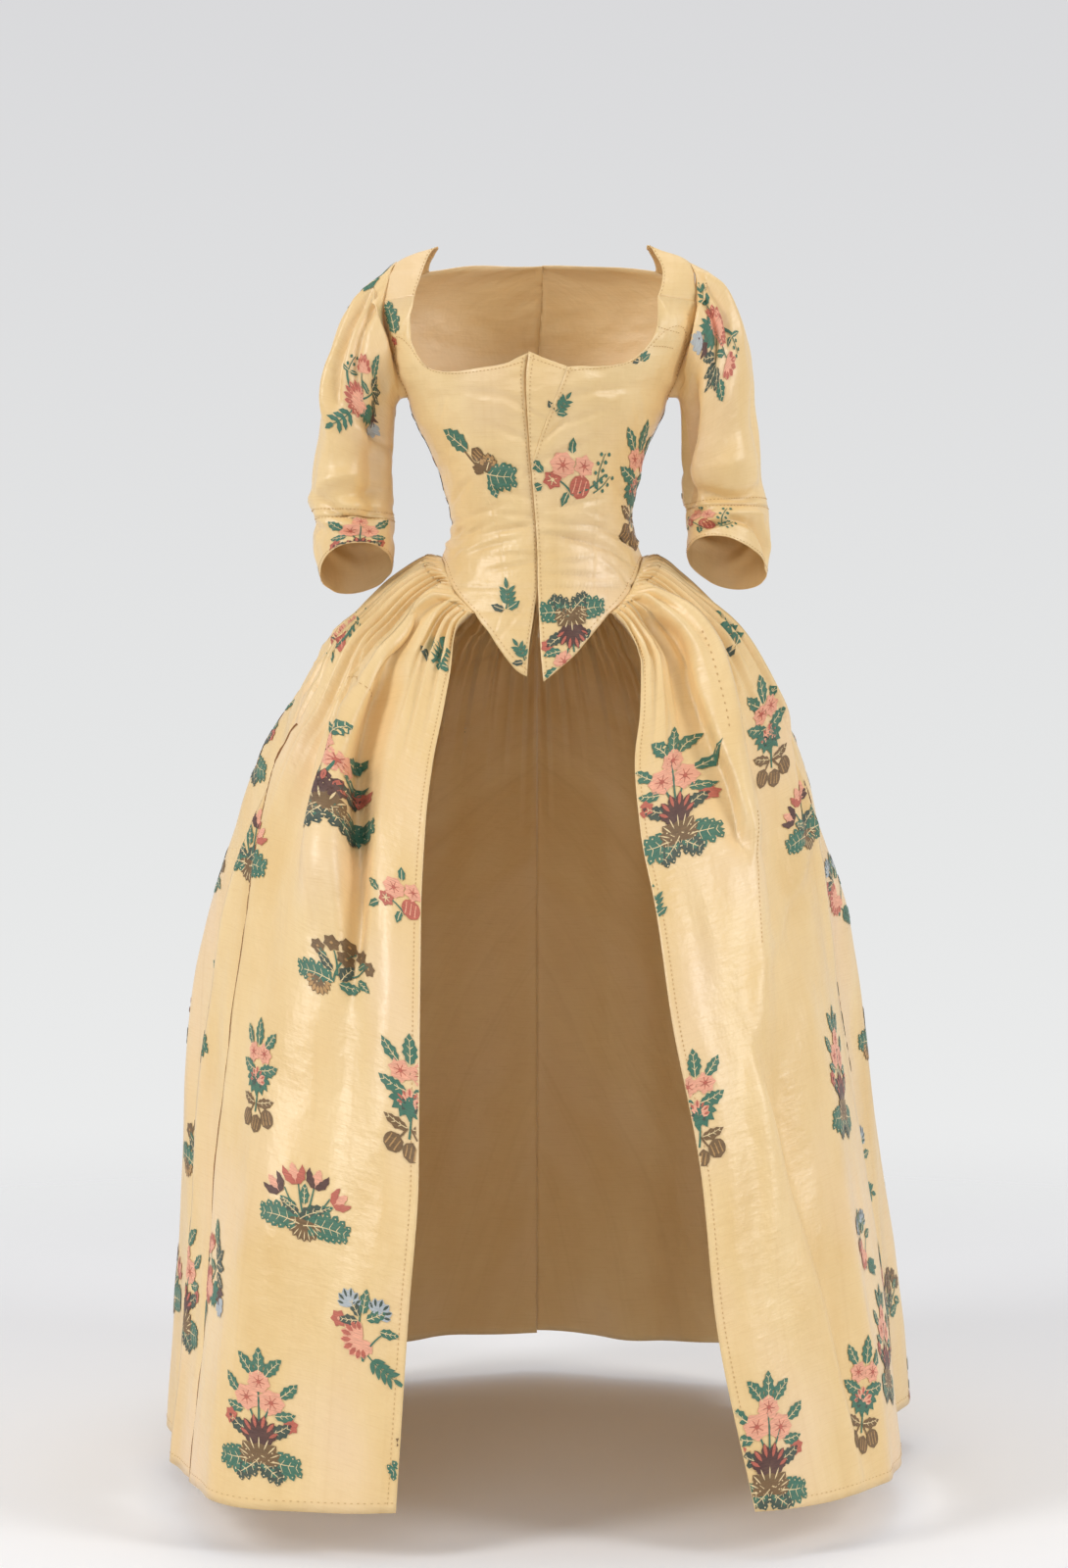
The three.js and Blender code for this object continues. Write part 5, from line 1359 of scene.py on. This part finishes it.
SPRIG_STROKES = {
    "bouquet": [
        *scalloped(-2, 15, 190, 41, 30, -40), *scalloped(2, 15, -10, 41, 30, 40),
        *scalloped(0, 12, 222, 30, 22, -20, "green", 4), *scalloped(0, 12, -42, 30, 22, 20, "green", 4),
        *fan(0, 8, 90, 168, 9, 27, 10, "brown", "cream", tip_share=0.13, layer=1),
        *fan(0, 28, 90, 116, 6, 30, 12, "aubergine", "rose", "leaf", 0.28, layer=2),
        *leaf(-9, 38, 152, 29, 14, -34, "green"), *leaf(9, 38, 28, 29, 14, 34, "green"),
        *stem(-4, 50, 112, 24, -10), *stem(4, 50, 68, 22, 10), *stem(0, 50, 92, 42, 6),
        *leaf(-16, 60, 168, 22, 11, -30), *leaf(16, 58, 10, 23, 11, 30),
        *daisy(-13, 73, 28), *daisy(13, 71, 28, turned=0), *daisy(0, 91, 25, turned=40),
        *daisy(-32, 50, 18, "rose", "aubergine", 6), *daisy(32, 50, 18, "rose", "aubergine", 6),
        *leaf(-7, 97, 128, 27, 13, 26), *leaf(0, 99, 90, 28, 13), *leaf(7, 97, 50, 27, 13, -26),
        *leaf(22, 78, 42, 25, 12, 20), *leaf(-22, 78, 138, 25, 12, -20),
    ],
    "leafy": [
        *stem(0, 18, 88, 44, 10), *stem(-2, 28, 232, 20, -20, "brown"), *stem(2, 28, 308, 22, 20, "brown"),
        *fruit(-15, 11, 21, heading=60), *fruit(2, 6, 20), *fruit(18, 14, 21, heading=110),
        *leaf(-2, 28, 160, 24, 11, -30, "brown"), *leaf(3, 28, 14, 24, 11, 30, "brown"),
        *fan(0, 58, 270, 190, 9, 24, 10, "teal", None, "leaf"), *fan(0, 56, 270, 120, 5, 15, 8, "green"),
        *fan(0, 50, 90, 170, 7, 16, 8, "pink", "rose", tip_share=0.3),
        *leaf(-3, 62, 162, 29, 14, -36), *leaf(3, 62, 18, 29, 14, 36),
        *daisy(-9, 80, 23), *daisy(10, 81, 23, turned=0),
        *leaf(-11, 88, 130, 25, 12, -20), *leaf(11, 88, 50, 25, 12, 20), *leaf(0, 88, 92, 30, 14, 6),
    ],
    "tulips": [
        *scalloped(-4, 17, 176, 42, 28, 30, "teal", 5), *scalloped(0, 16, 0, 48, 32, -34, "teal", 6),
        *fan(2, 22, 270, 160, 11, 23, 8, "brown", "cream", tip_share=0.13),
        *leaf(-4, 22, 30, 34, 14, -40, "green"), *leaf(-6, 26, 150, 24, 11, 30, "green"),
        *stem(-2, 24, 128, 34, -20), *stem(0, 24, 104, 38, -8), *stem(2, 24, 80, 38, 8),
        *stem(4, 22, 52, 36, 20), *tulip(-27, 44, 138, 22), *tulip(-11, 57, 108, 23, "rose"),
        *tulip(9, 57, 78, 23), *tulip(30, 44, 40, 22, "rose"), *leaf(-8, 34, 160, 20, 9, -20),
        *leaf(12, 34, 24, 20, 9, 20), *leaf(-1, 38, 92, 22, 10),
    ],
    "brown_flowers": [
        *stem(-4, 14, 62, 46, -40), *stem(0, 22, 96, 26, 20), *stem(6, 24, 30, 36, 30),
        *scalloped(-4, 14, 176, 40, 27, 30, "teal", 5), *fan(-20, 14, 266, 150, 9, 19, 7, "brown", "fawn"),
        *leaf(2, 14, 6, 26, 13, 40), *leaf(4, 18, 60, 24, 12, -20, "green"),
        *leaf(-4, 26, 136, 22, 10, -20, "green"), *leaf(22, 24, -30, 20, 10, -10),
        *daisy(-20, 47, 17, "brown", "fawn", 6), *daisy(-5, 55, 18, "brown", "fawn", 6),
        *daisy(11, 58, 17, "brown", "fawn", 6, 50), *daisy(25, 51, 18, "brown", "fawn", 6),
        *daisy(38, 39, 17, "brown", "fawn", 6, 10), *daisy(8, 43, 18, "brown", "fawn", 6, 30),
        *leaf(-10, 38, 150, 16, 8, -20), *leaf(20, 38, 20, 16, 8),
    ],
    "carnation": [
        *stem(8, 4, 130, 44, 60), *stem(8, 4, 66, 38, -30), *stem(2, 20, 96, 40, -20),
        *fan(4, 25, 200, 170, 9, 24, 9, "pink", "rose"), *fan(4, 25, 310, 60, 4, 16, 9, "pink"),
        *leaflets(12, 12, -24, 32, 20, 4, 14), *leaf(-4, 42, 196, 22, 11, -20, "green"),
        *fan(-14, 52, 112, 130, 6, 19, 9, "grey", "green", tip_share=0.3),
        *fan(14, 54, 68, 120, 6, 19, 9, "grey", "green", tip_share=0.3),
        *leaf(0, 50, 90, 26, 12), *leaf(-3, 46, 134, 20, 10, 10, "green"), *leaf(5, 46, 40, 24, 11, 10),
        *daisy(-24, 36, 18, "rose", "pink", 6), *leaf(20, 40, 10, 20, 10, 20),
    ],
    "spray": [
        *stem(2, 0, 100, 40, 30), *stem(4, 10, 60, 52, 30), *leaflets(-10, -12, 234, 38, -26, 3, 16),
        *fan(4, 2, 176, 150, 10, 30, 8, "pink", "rose", tip_share=0.7),
        *fan(2, 0, 330, 150, 6, 12, 8, "pink"), *fan(11, 2, 320, 150, 7, 24, 9, "teal", None, "leaf"),
        *stem(-16, 10, 128, 22, -40, width=4.2),
        *leaf(-26, 26, 178, 15, 5, -20), *leaf(-26, 26, 20, 15, 5, 20), *berries(-27, 26, 90, 18, 0, 4, 4),
        *leaf(20, 32, 0, 26, 13, 10, "green"), *leaf(20, 34, 40, 28, 13, 10, "green"),
        *leaf(18, 36, 78, 26, 12, 10, "green"), *leaf(22, 22, 334, 26, 12, 10, "green"),
        *leaf(14, 24, 150, 18, 9, -10), *leaf(16, 52, 104, 30, 14), *fan(36, -4, 300, 110, 5, 22, 10, "grey"),
        *fan(32, 4, 320, 160, 5, 20, 6, "aubergine", None, "leaf"),
        *fan(-2, 42, 126, 130, 6, 21, 10, "pink", "rose", tip_share=0.6),
    ],
    "fruits": [
        *stem(2, 6, 146, 30, 40), *stem(2, 6, 34, 42, 30), *leaf(-2, 8, 250, 16, 7, 20),
        *daisy(-18, 18, 19, "rose", "cream", 6), *daisy(-9, 33, 25), *daisy(12, 34, 22, "pink", "rose", 6),
        *fruit(9, 14, 24, "rose", "pink"), *berries(28, 14, 78, 36, -30, 8, 4),
        *berries(24, 10, 44, 26, 20, 6, 4),
        *leaf(-27, 24, 140, 20, 9), *leaf(-27, 12, 206, 18, 9), *leaf(0, 44, 92, 16, 8),
    ],
    "leaf_bud": [
        *stem(2, 0, 108, 32, -24, "brown", 2.0), *leaf(-4, 26, 112, 32, 15, 10),
        *fruit(2, 18, 14, heading=100), *leaf(2, 2, 40, 14, 6, 10, "green"),
    ],
    "fern": [
        *scalloped(0, 24, 8, 34, 34, 20, "teal", 4), *fan(0, 26, 100, 70, 5, 22, 9, "brown", "fawn"),
        *leaf(6, 20, 300, 24, 13, 20), *fan(-4, 24, 160, 60, 4, 17, 8, "brown"), *stem(-2, 26, 120, 18, 20),
    ],
    "side_leaf": [
        *scalloped(2, 12, 94, 34, 22, 16, "teal", 4), *daisy(-4, 5, 11, "rose", "aubergine", 5),
        *stem(2, 46, 84, 26, -20), *stem(4, 52, 20, 20, 30), *leaf(4, 60, 150, 16, 6, -20),
        *leaf(6, 70, 10, 20, 7, 20),
    ],
    "small": [
        *leaflets(0, 0, 76, 22, 20, 3, 13), *leaf(-2, 0, 150, 16, 8, -20, "green"),
        *leaf(2, 0, 20, 16, 8, 20),
    ],
}


def stroke(x, y, heading, length, width, bend, form, layer):
    """One stroke of floss: a narrow strip, its edge toothed on a leaf; a wide one also has a middle line."""
    count = max(3, round(length / 3.4))
    middle, turns = bent(x, y, heading, length, bend, count)
    t = np.linspace(0, 1, count + 1)
    half = FORMS[form](t) * width / 2
    if form == "leaf" and width > 6:
        half = half * (1 + 0.3 * (np.arange(count + 1) % 2) - 0.15)
    turns = np.radians(turns)
    aside = np.stack([-np.sin(turns), np.cos(turns)], -1) * half[:, None]
    across = (-1, -0.5, 0, 0.5, 1) if width > 13 else (-1, 0, 1) if width > 6 else (-1, 1)
    flat = np.stack([middle + aside * k for k in across], axis=1)
    points = np.concatenate([flat, np.full((*flat.shape[:2], 1), 0.12 * layer)], axis=-1).reshape(-1, 3)
    return points, quads(np.arange(len(points)).reshape(count + 1, -1))


def draw_sprig(strokes):
    """A whole sprig flat, as points, faces and the dye of each point; later strokes lie a little higher."""
    points, faces, dyes, count = [], [], [], 0
    for i, (dye, *shape) in enumerate(strokes):
        p, f = stroke(*shape)
        points.append(p + (0, 0, 0.015 * (i % 6)))
        faces.append(f + count)
        dyes.append(np.tile(linear(DYES[dye]), (len(p), 1)))
        count += len(p)
    return np.concatenate(points), np.concatenate(faces), np.concatenate(dyes)


DRAWN = {kind: draw_sprig(strokes) for kind, strokes in SPRIG_STROKES.items()}
SPRIG_LIFT = 0.8               # height of floss and of stitches over the cloth, and half a thread's thickness
STITCH_LIFT = 0.4
THREAD_RADIUS = 0.4


def lay_stitches(name, sheet, lines, thread=THREAD):
    """Hand stitches along lines drawn on a piece's map: each line is its points, step and stitch length."""
    points, faces, count = [], [], 0
    for line, step, length in lines:
        flat = np.concatenate([np.asarray(line, float) * MM, np.zeros((len(line), 1))], axis=1)
        mesh = bpy.data.meshes.new("needle_line")
        mesh.from_pydata(flat.tolist(), [(i, i + 1) for i in range(len(line) - 1)], [])
        row = place_in_scene(bpy.data.objects.new("needle_line", mesh))
        run_tree(row, STITCHES, {"Step": step * MM, "Length": length * MM, "Radius": THREAD_RADIUS * MM})
        place = np.empty(len(row.data.vertices) * 3)
        row.data.vertices.foreach_get("co", place)
        points.append(place.reshape(-1, 3))
        faces += [tuple(v + count for v in face.vertices) for face in row.data.polygons]
        count += len(points[-1])
        bpy.data.objects.remove(row)
    mesh = bpy.data.meshes.new(name)
    mesh.from_pydata(np.concatenate(points).tolist(), [], faces)
    stitches = place_in_scene(bpy.data.objects.new(name, mesh))
    return run_tree(stitches, SPRIGS, {"Cloth": sheet, "Lift": STITCH_LIFT * MM, "Thread": thread})


def lay_sprigs(name, sheet, places, hand, up):
    """Sprigs on one piece of cloth. hand and up say which way its map runs, seen from outside."""
    points, faces, dyes, count = [], [], [], 0
    for across, level, kind, turn, size in places:
        p, f, d = DRAWN[kind]
        c, s = math.cos(math.radians(turn)) * size, math.sin(math.radians(turn)) * size
        x, y = p[:, 0] * c - p[:, 1] * s, p[:, 0] * s + p[:, 1] * c
        points.append(np.stack([across + hand * x, level + up * y, p[:, 2]], -1))
        faces.append(f + count)
        dyes.append(d)
        count += len(p)
    points, faces, dyes = (np.concatenate(part) for part in (points, faces, dyes))
    mesh = bpy.data.meshes.new(name)
    mesh.from_pydata((points * MM).tolist(), [], faces.tolist())
    give_map(mesh, points[faces.reshape(-1), :2])
    dye = mesh.attributes.new("dye", "FLOAT_COLOR", "POINT")
    dye.data.foreach_set("color", dyes.ravel())
    made = place_in_scene(bpy.data.objects.new(name, mesh))
    return run_tree(made, SPRIGS, {"Cloth": sheet, "Lift": SPRIG_LIFT * MM, "Thread": FLOSS})


# Each place is across, level, sprig, turn in degrees and size.
SPRIG_PLACES = {
    "front_right": [(-60, 1062, "leaf_bud", 34, 1.3), (-66, 1040, "fern", -16, 0.95),
                    (-40, 914, "small", 12, 1.0), (-18, 858, "small", 40, 0.8),
                    (-176, 1204, "side_leaf", 4, 1.0)],
    "front_left": [(32, 1032, "fruits", -6, 1.15), (128, 982, "leafy", -6, 1.2),
                   (118, 1184, "small", 20, 0.8), (30, 920, "bouquet", 186, 0.88),
                   (19, 1128, "small", -30, 0.8)],
    "front_left_wedge": [(19, 1128, "small", -30, 0.8)],
    "side_right": [(-178, 1006, "leafy", 4, 0.9), (-214, 1090, "spray", 40, 0.8)],
    "side_left": [(196, 1070, "tulips", -6, 0.9)],
    "back_right": [(-330, 1190, "bouquet", 6, 0.95), (-424, 1060, "leafy", -4, 0.95),
                   (-300, 1010, "carnation", 0, 0.95), (-400, 950, "small", 10, 1.1),
                   (-440, 1250, "fruits", 8, 0.9)],
    "back_left": [(396, 1176, "tulips", -4, 0.95), (300, 1090, "bouquet", 4, 0.95),
                  (270, 1220, "small", 30, 1.1), (424, 1000, "brown_flowers", -6, 0.95)],
    "sleeve_right": [(-100, 98, "spray", -4, 0.82), (-28, 30, "small", 60, 1.2),
                     (60, 200, "bouquet", 170, 0.9), (110, 60, "leafy", 180, 0.9)],
    "sleeve_left": [(-82, 36, "spray", 176, 0.82), (60, 90, "leafy", 4, 0.9),
                    (110, 230, "carnation", 0, 0.9)],
    "sleeve_elbow_right": [(-108, 322, "bouquet", 4, 0.95), (40, 300, "fruits", 0, 1.0)],
    "sleeve_elbow_left": [(-128, 262, "fruits", -8, 0.9), (60, 300, "small", 0, 1.0)],
}
SKIRT_SPRIGS = {
    RIGHT: [
        (101, 318, "bouquet", 5, 1.0), (168, 160, "fruits", 30, 1.0), (21, 92, "small", 0, 1.3),
        (18, 398, "fruits", 4, 0.95), (95, 505, "brown_flowers", 0, 1.0), (187, 670, "leafy", 3, 0.95),
        (10, 647, "leafy", 0, 1.1), (116, 760, "tulips", 2, 0.95), (52, 866, "carnation", -6, 1.0),
        (140, 998, "bouquet", 5, 0.95), (-34, 965, "brown_flowers", 20, 0.9), (262, 430, "tulips", 6, 1.0),
        (262, 850, "spray", 0, 0.9),
    ],
    LEFT: [
        (44, 323, "bouquet", 0, 1.15), (150, 140, "small", 20, 1.3), (189, 300, "leafy", 4, 1.0),
        (250, 384, "tulips", 10, 0.95), (-4, 385, "small", 0, 1.0), (236, 674, "bouquet", -10, 1.0),
        (0, 651, "leafy", -8, 1.0), (246, 830, "carnation", 0, 0.9), (162, 994, "leafy", -20, 1.0),
        (16, 998, "bouquet", -13, 1.0), (262, 960, "bouquet", -16, 0.9),
    ],
}


# Behind the skirt's front panel the sprigs repeat: first, last and step round the skirt and down it.
REPEAT_ROUND = (370, 1290, 175)
REPEAT_DOWN = (326, 1080, 150)
REPEATED = ["bouquet", "leafy", "tulips", "brown_flowers", "carnation", "fruits"]


def repeated(start):
    """The skirt's sprigs in a half-drop repeat, not quite level and each turned a little."""
    places = []
    for k, y in enumerate(np.arange(*REPEAT_DOWN)):
        for j, x in enumerate(np.arange(*REPEAT_ROUND)):
            kind = REPEATED[(j * 2 + k * 3 + start) % len(REPEATED)]
            shift = REPEAT_ROUND[2] / 2 if k % 2 else 0
            places.append((x + shift, y + 14 * ((j + start) % 3), kind, 8 * ((j + k) % 3) - 8, 1.0))
    return places


# Stitches along the edges of each kind of piece: a row or column of its grid, step and stitch length.
EDGE_STITCHES = {
    "front": [("row", 2, 4.2, 2.6), ("column", 2, 4.6, 2.4), ("row", -3, 5.0, 2.6)],
    "front_wedge": [("row", 2, 4.2, 2.6), ("column", 2, 4.6, 2.4)],
    "side": [],
    "back": [("row", 2, 4.4, 2.6)],
    "strap": [("column", 1, 4.4, 2.4)],
    "sleeve": [("row", -3, 4.2, 2.4)],
    "sleeve_elbow": [("row", 1, 4.2, 2.4), ("row", -3, 4.4, 2.6)],
    "skirt_front": [("row", -2, 7.0, 3.0), ("column", 2, 5.0, 2.8)],
    "skirt_side": [("row", -2, 7.0, 3.0)],
    "skirt_back": [("row", -2, 7.0, 3.0)],
}
# Darts and mends elsewhere on a piece: points on its map, step and stitch length.
MENDS = {
    "front_left": [([(132, 1223), (152, 1219), (166, 1217)], 4, 2.6),
                   ([(134, 1201), (150, 1201), (162, 1200)], 4, 2.6)],
    "skirt_front_right": [([(140, 177), (110, 160), (71, 147)], 4.4, 2.6)],
    "skirt_front_left": [([(64, 80), (76, 130), (92, 200)], 9, 3.4),
                         ([(78, 90), (90, 140), (106, 196)], 11, 3.4),
                         ([(124, 310), (128, 372), (118, 451)], 4.6, 2.8)],
}
# The long seam on the wearer's right, overcast in dark brown so closely that its rows of stitches join:
# a real seam, and also a painted shadow line along the edge of the fold there.
SHADOW_LINE_SEAM = [(205, 250), (234, 298), (240, 444), (256, 564), (261, 626), (284, 765), (286, 1060)]
SHADOW_LINE_ROWS = (-0.8, 0, 0.8, 1.6, 2.4, 3.2)
OVERCAST_SHADOW_LINE = {
    "skirt_front_right": [([(across + row, level) for across, level in SHADOW_LINE_SEAM], 3.0, 4.2)
                          for row in SHADOW_LINE_ROWS],
}
CLOSING_LAP = {"front_right": -2.4, "front_left": 0.0, "front_left_wedge": 1.0}


def needle_lines(node, cloth_map):
    """Where hand stitches show on a piece: each line of points with its step and stitch length."""
    kind = node.replace("_right", "").replace("_left", "")
    lines = [((cloth_map[at] if way == "row" else cloth_map[:, at])[1:-1], step, length)
             for way, at, step, length in EDGE_STITCHES[kind]]
    return lines + MENDS.get(node, [])


def dress(node, grid, cloth_map, places, hand=1, up=1, loop=False):
    """One piece of the gown with its sprigs and stitches: it stands for its node and rides with the gown."""
    sheet = make_sheet("flat_" + node, grid, cloth_map)
    laid = [lay_sprigs("sprigs_" + node, sheet, places, hand, up)] if places else []
    lines = needle_lines(node, cloth_map)
    if lines:
        laid.append(lay_stitches("stitches_" + node, sheet, lines))
    # The close dark overcast seam is partly a painted shadow line along the fold's edge.
    if node in OVERCAST_SHADOW_LINE:
        laid.append(lay_stitches("seam_" + node, sheet, OVERCAST_SHADOW_LINE[node], SHADOW_LINE_THREAD))
    bpy.data.objects.remove(sheet)
    cloth = make_cloth("silk_" + node, grid, cloth_map, (SILK, REVERSE), loop)
    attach(cloth, "root")
    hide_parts(node)
    for piece in laid:
        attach(piece, "root")


def make_bodice_piece(node, places, seam=None):
    cloth_map = torso_map(places)
    relief = creases(BODICE_CREASES, cloth_map) * BODICE_RELIEF
    relief = relief + 1.5 * crumpled(cloth_map, 52, 24, 3) + 0.8 * crumpled(cloth_map, 18, 9, 4)
    if seam:
        relief = relief + seam_lap(seam, cloth_map)
    if node in CLOSING_LAP:
        # The wearer's left closes over the right, and below the wedge the left front itself stands out.
        from_closing = np.abs(cloth_map[..., 0] - cloth_map[:, :1, 0])
        below_wedge = smooth_step(-1130, -1080, -cloth_map[..., 1]) if node == "front_left" else 0
        relief = relief + (CLOSING_LAP[node] + below_wedge) * np.exp(-from_closing / 7)
        # The turned-in upper edge is thicker, in small tucks.
        from_top = np.abs(cloth_map[:1, :, 1] - cloth_map[..., 1])
        tucks = 1 + 0.8 * crumpled(cloth_map, 5, 60, 21)
        relief = relief + 0.8 * tucks * np.exp(-from_top / 4)
    grid = creased(torso_point(places), relief)
    dress(node, grid, cloth_map, SPRIG_PLACES.get(node, ()))


def make_sleeve(side):
    where = SIDES[side]
    upper, lower = sleeve_grids(side)
    upper_map = tube_map(upper)
    lower_map = tube_map(lower, upper_map[-1, 0, 1])
    for node, grid, cloth_map in (("sleeve_" + where, upper, upper_map),
                                  ("sleeve_elbow_" + where, lower, lower_map)):
        relief = creases(SLEEVE_CREASES[side], cloth_map) + fold_lines(SLEEVE_FOLDS[side], cloth_map)
        relief = relief * SLEEVE_RELIEF
        uneven = 3.2 * crumpled(cloth_map, 34, 44, 5 + side) + 1.4 * crumpled(cloth_map, 16, 20, 8 + side)
        # The seam runs along the inner line, where the map's two ends meet and have to agree.
        from_seam = -cloth_map[:, :1, 0] - np.abs(cloth_map[..., 0])
        relief = relief + uneven * smooth_step(0, 24, from_seam) * smooth_step(0, 14, cloth_map[..., 1])
        grid = creased(grid, relief, loop=True)
        dress(node, grid, cloth_map, SPRIG_PLACES.get(node, ()), side, -1, loop=True)


def make_skirt(side):
    where = SIDES[side]
    surface, cloth_map, falls, share = skirt_surface(side)
    away = outward(surface)[0]
    # Beside the centre back seam the cloth moves only along the seam's own plane, so that it stays closed.
    away[..., 0] *= smooth_step(0, 40, cloth_map[:, -1:, 0] - cloth_map[..., 0])
    surface = pleated(surface, away, falls, share)
    relief = creases(SKIRT_CREASES[side], cloth_map) + fold_lines(SKIRT_FOLDS[side], cloth_map)
    uneven = 2.8 * crumpled(cloth_map, 64, 150, 11 + side) + 1.0 * crumpled(cloth_map, 26, 60, 14 + side)
    relief = relief + uneven * smooth_step(0, 60, cloth_map[:, -1:, 0] - cloth_map[..., 0])
    # The folds begin below the waist seam, and the hem isn't quite level.
    level = cloth_map[..., 1]
    below_waist = smooth_step(0, 60, level)
    surface[..., 2] += 4 * crumpled(cloth_map, 90, 4000, 17 + side) * smooth_step(900, 1080, level)
    places = SKIRT_SPRIGS[side] + repeated((side + 1) // 2)
    for panel, (first, last) in PANELS.items():
        cut = slice(first * FINE, last * FINE + 1)
        # At each seam the panel in front laps a little over the next one.
        from_start = cloth_map[:, cut, 0] - cloth_map[:, first * FINE, None, 0]
        from_end = cloth_map[:, last * FINE, None, 0] - cloth_map[:, cut, 0]
        over, under = np.exp(-from_end / 10), np.exp(-from_start / 8)
        lap = 0.35 * ((last < SKIRT_STRIPS) * over - (first > 0) * under)
        move = relief[:, cut] * below_waist[:, cut] + lap * below_waist[:, cut]
        dress(f"skirt_{panel}_{where}", surface[:, cut] + away[:, cut] * move[..., None], cloth_map[:, cut],
              places, side, -1)


for side, where in SIDES.items():
    make_bodice_piece("front_" + where, front_places(side), FRONT_SEAM[side])
    make_bodice_piece("side_" + where, side_places(side))
    make_bodice_piece("back_" + where, back_places(side))
    make_bodice_piece("strap_" + where, strap_places(side))
    make_sleeve(side)
    make_skirt(side)
make_bodice_piece("front_left_wedge", wedge_places())
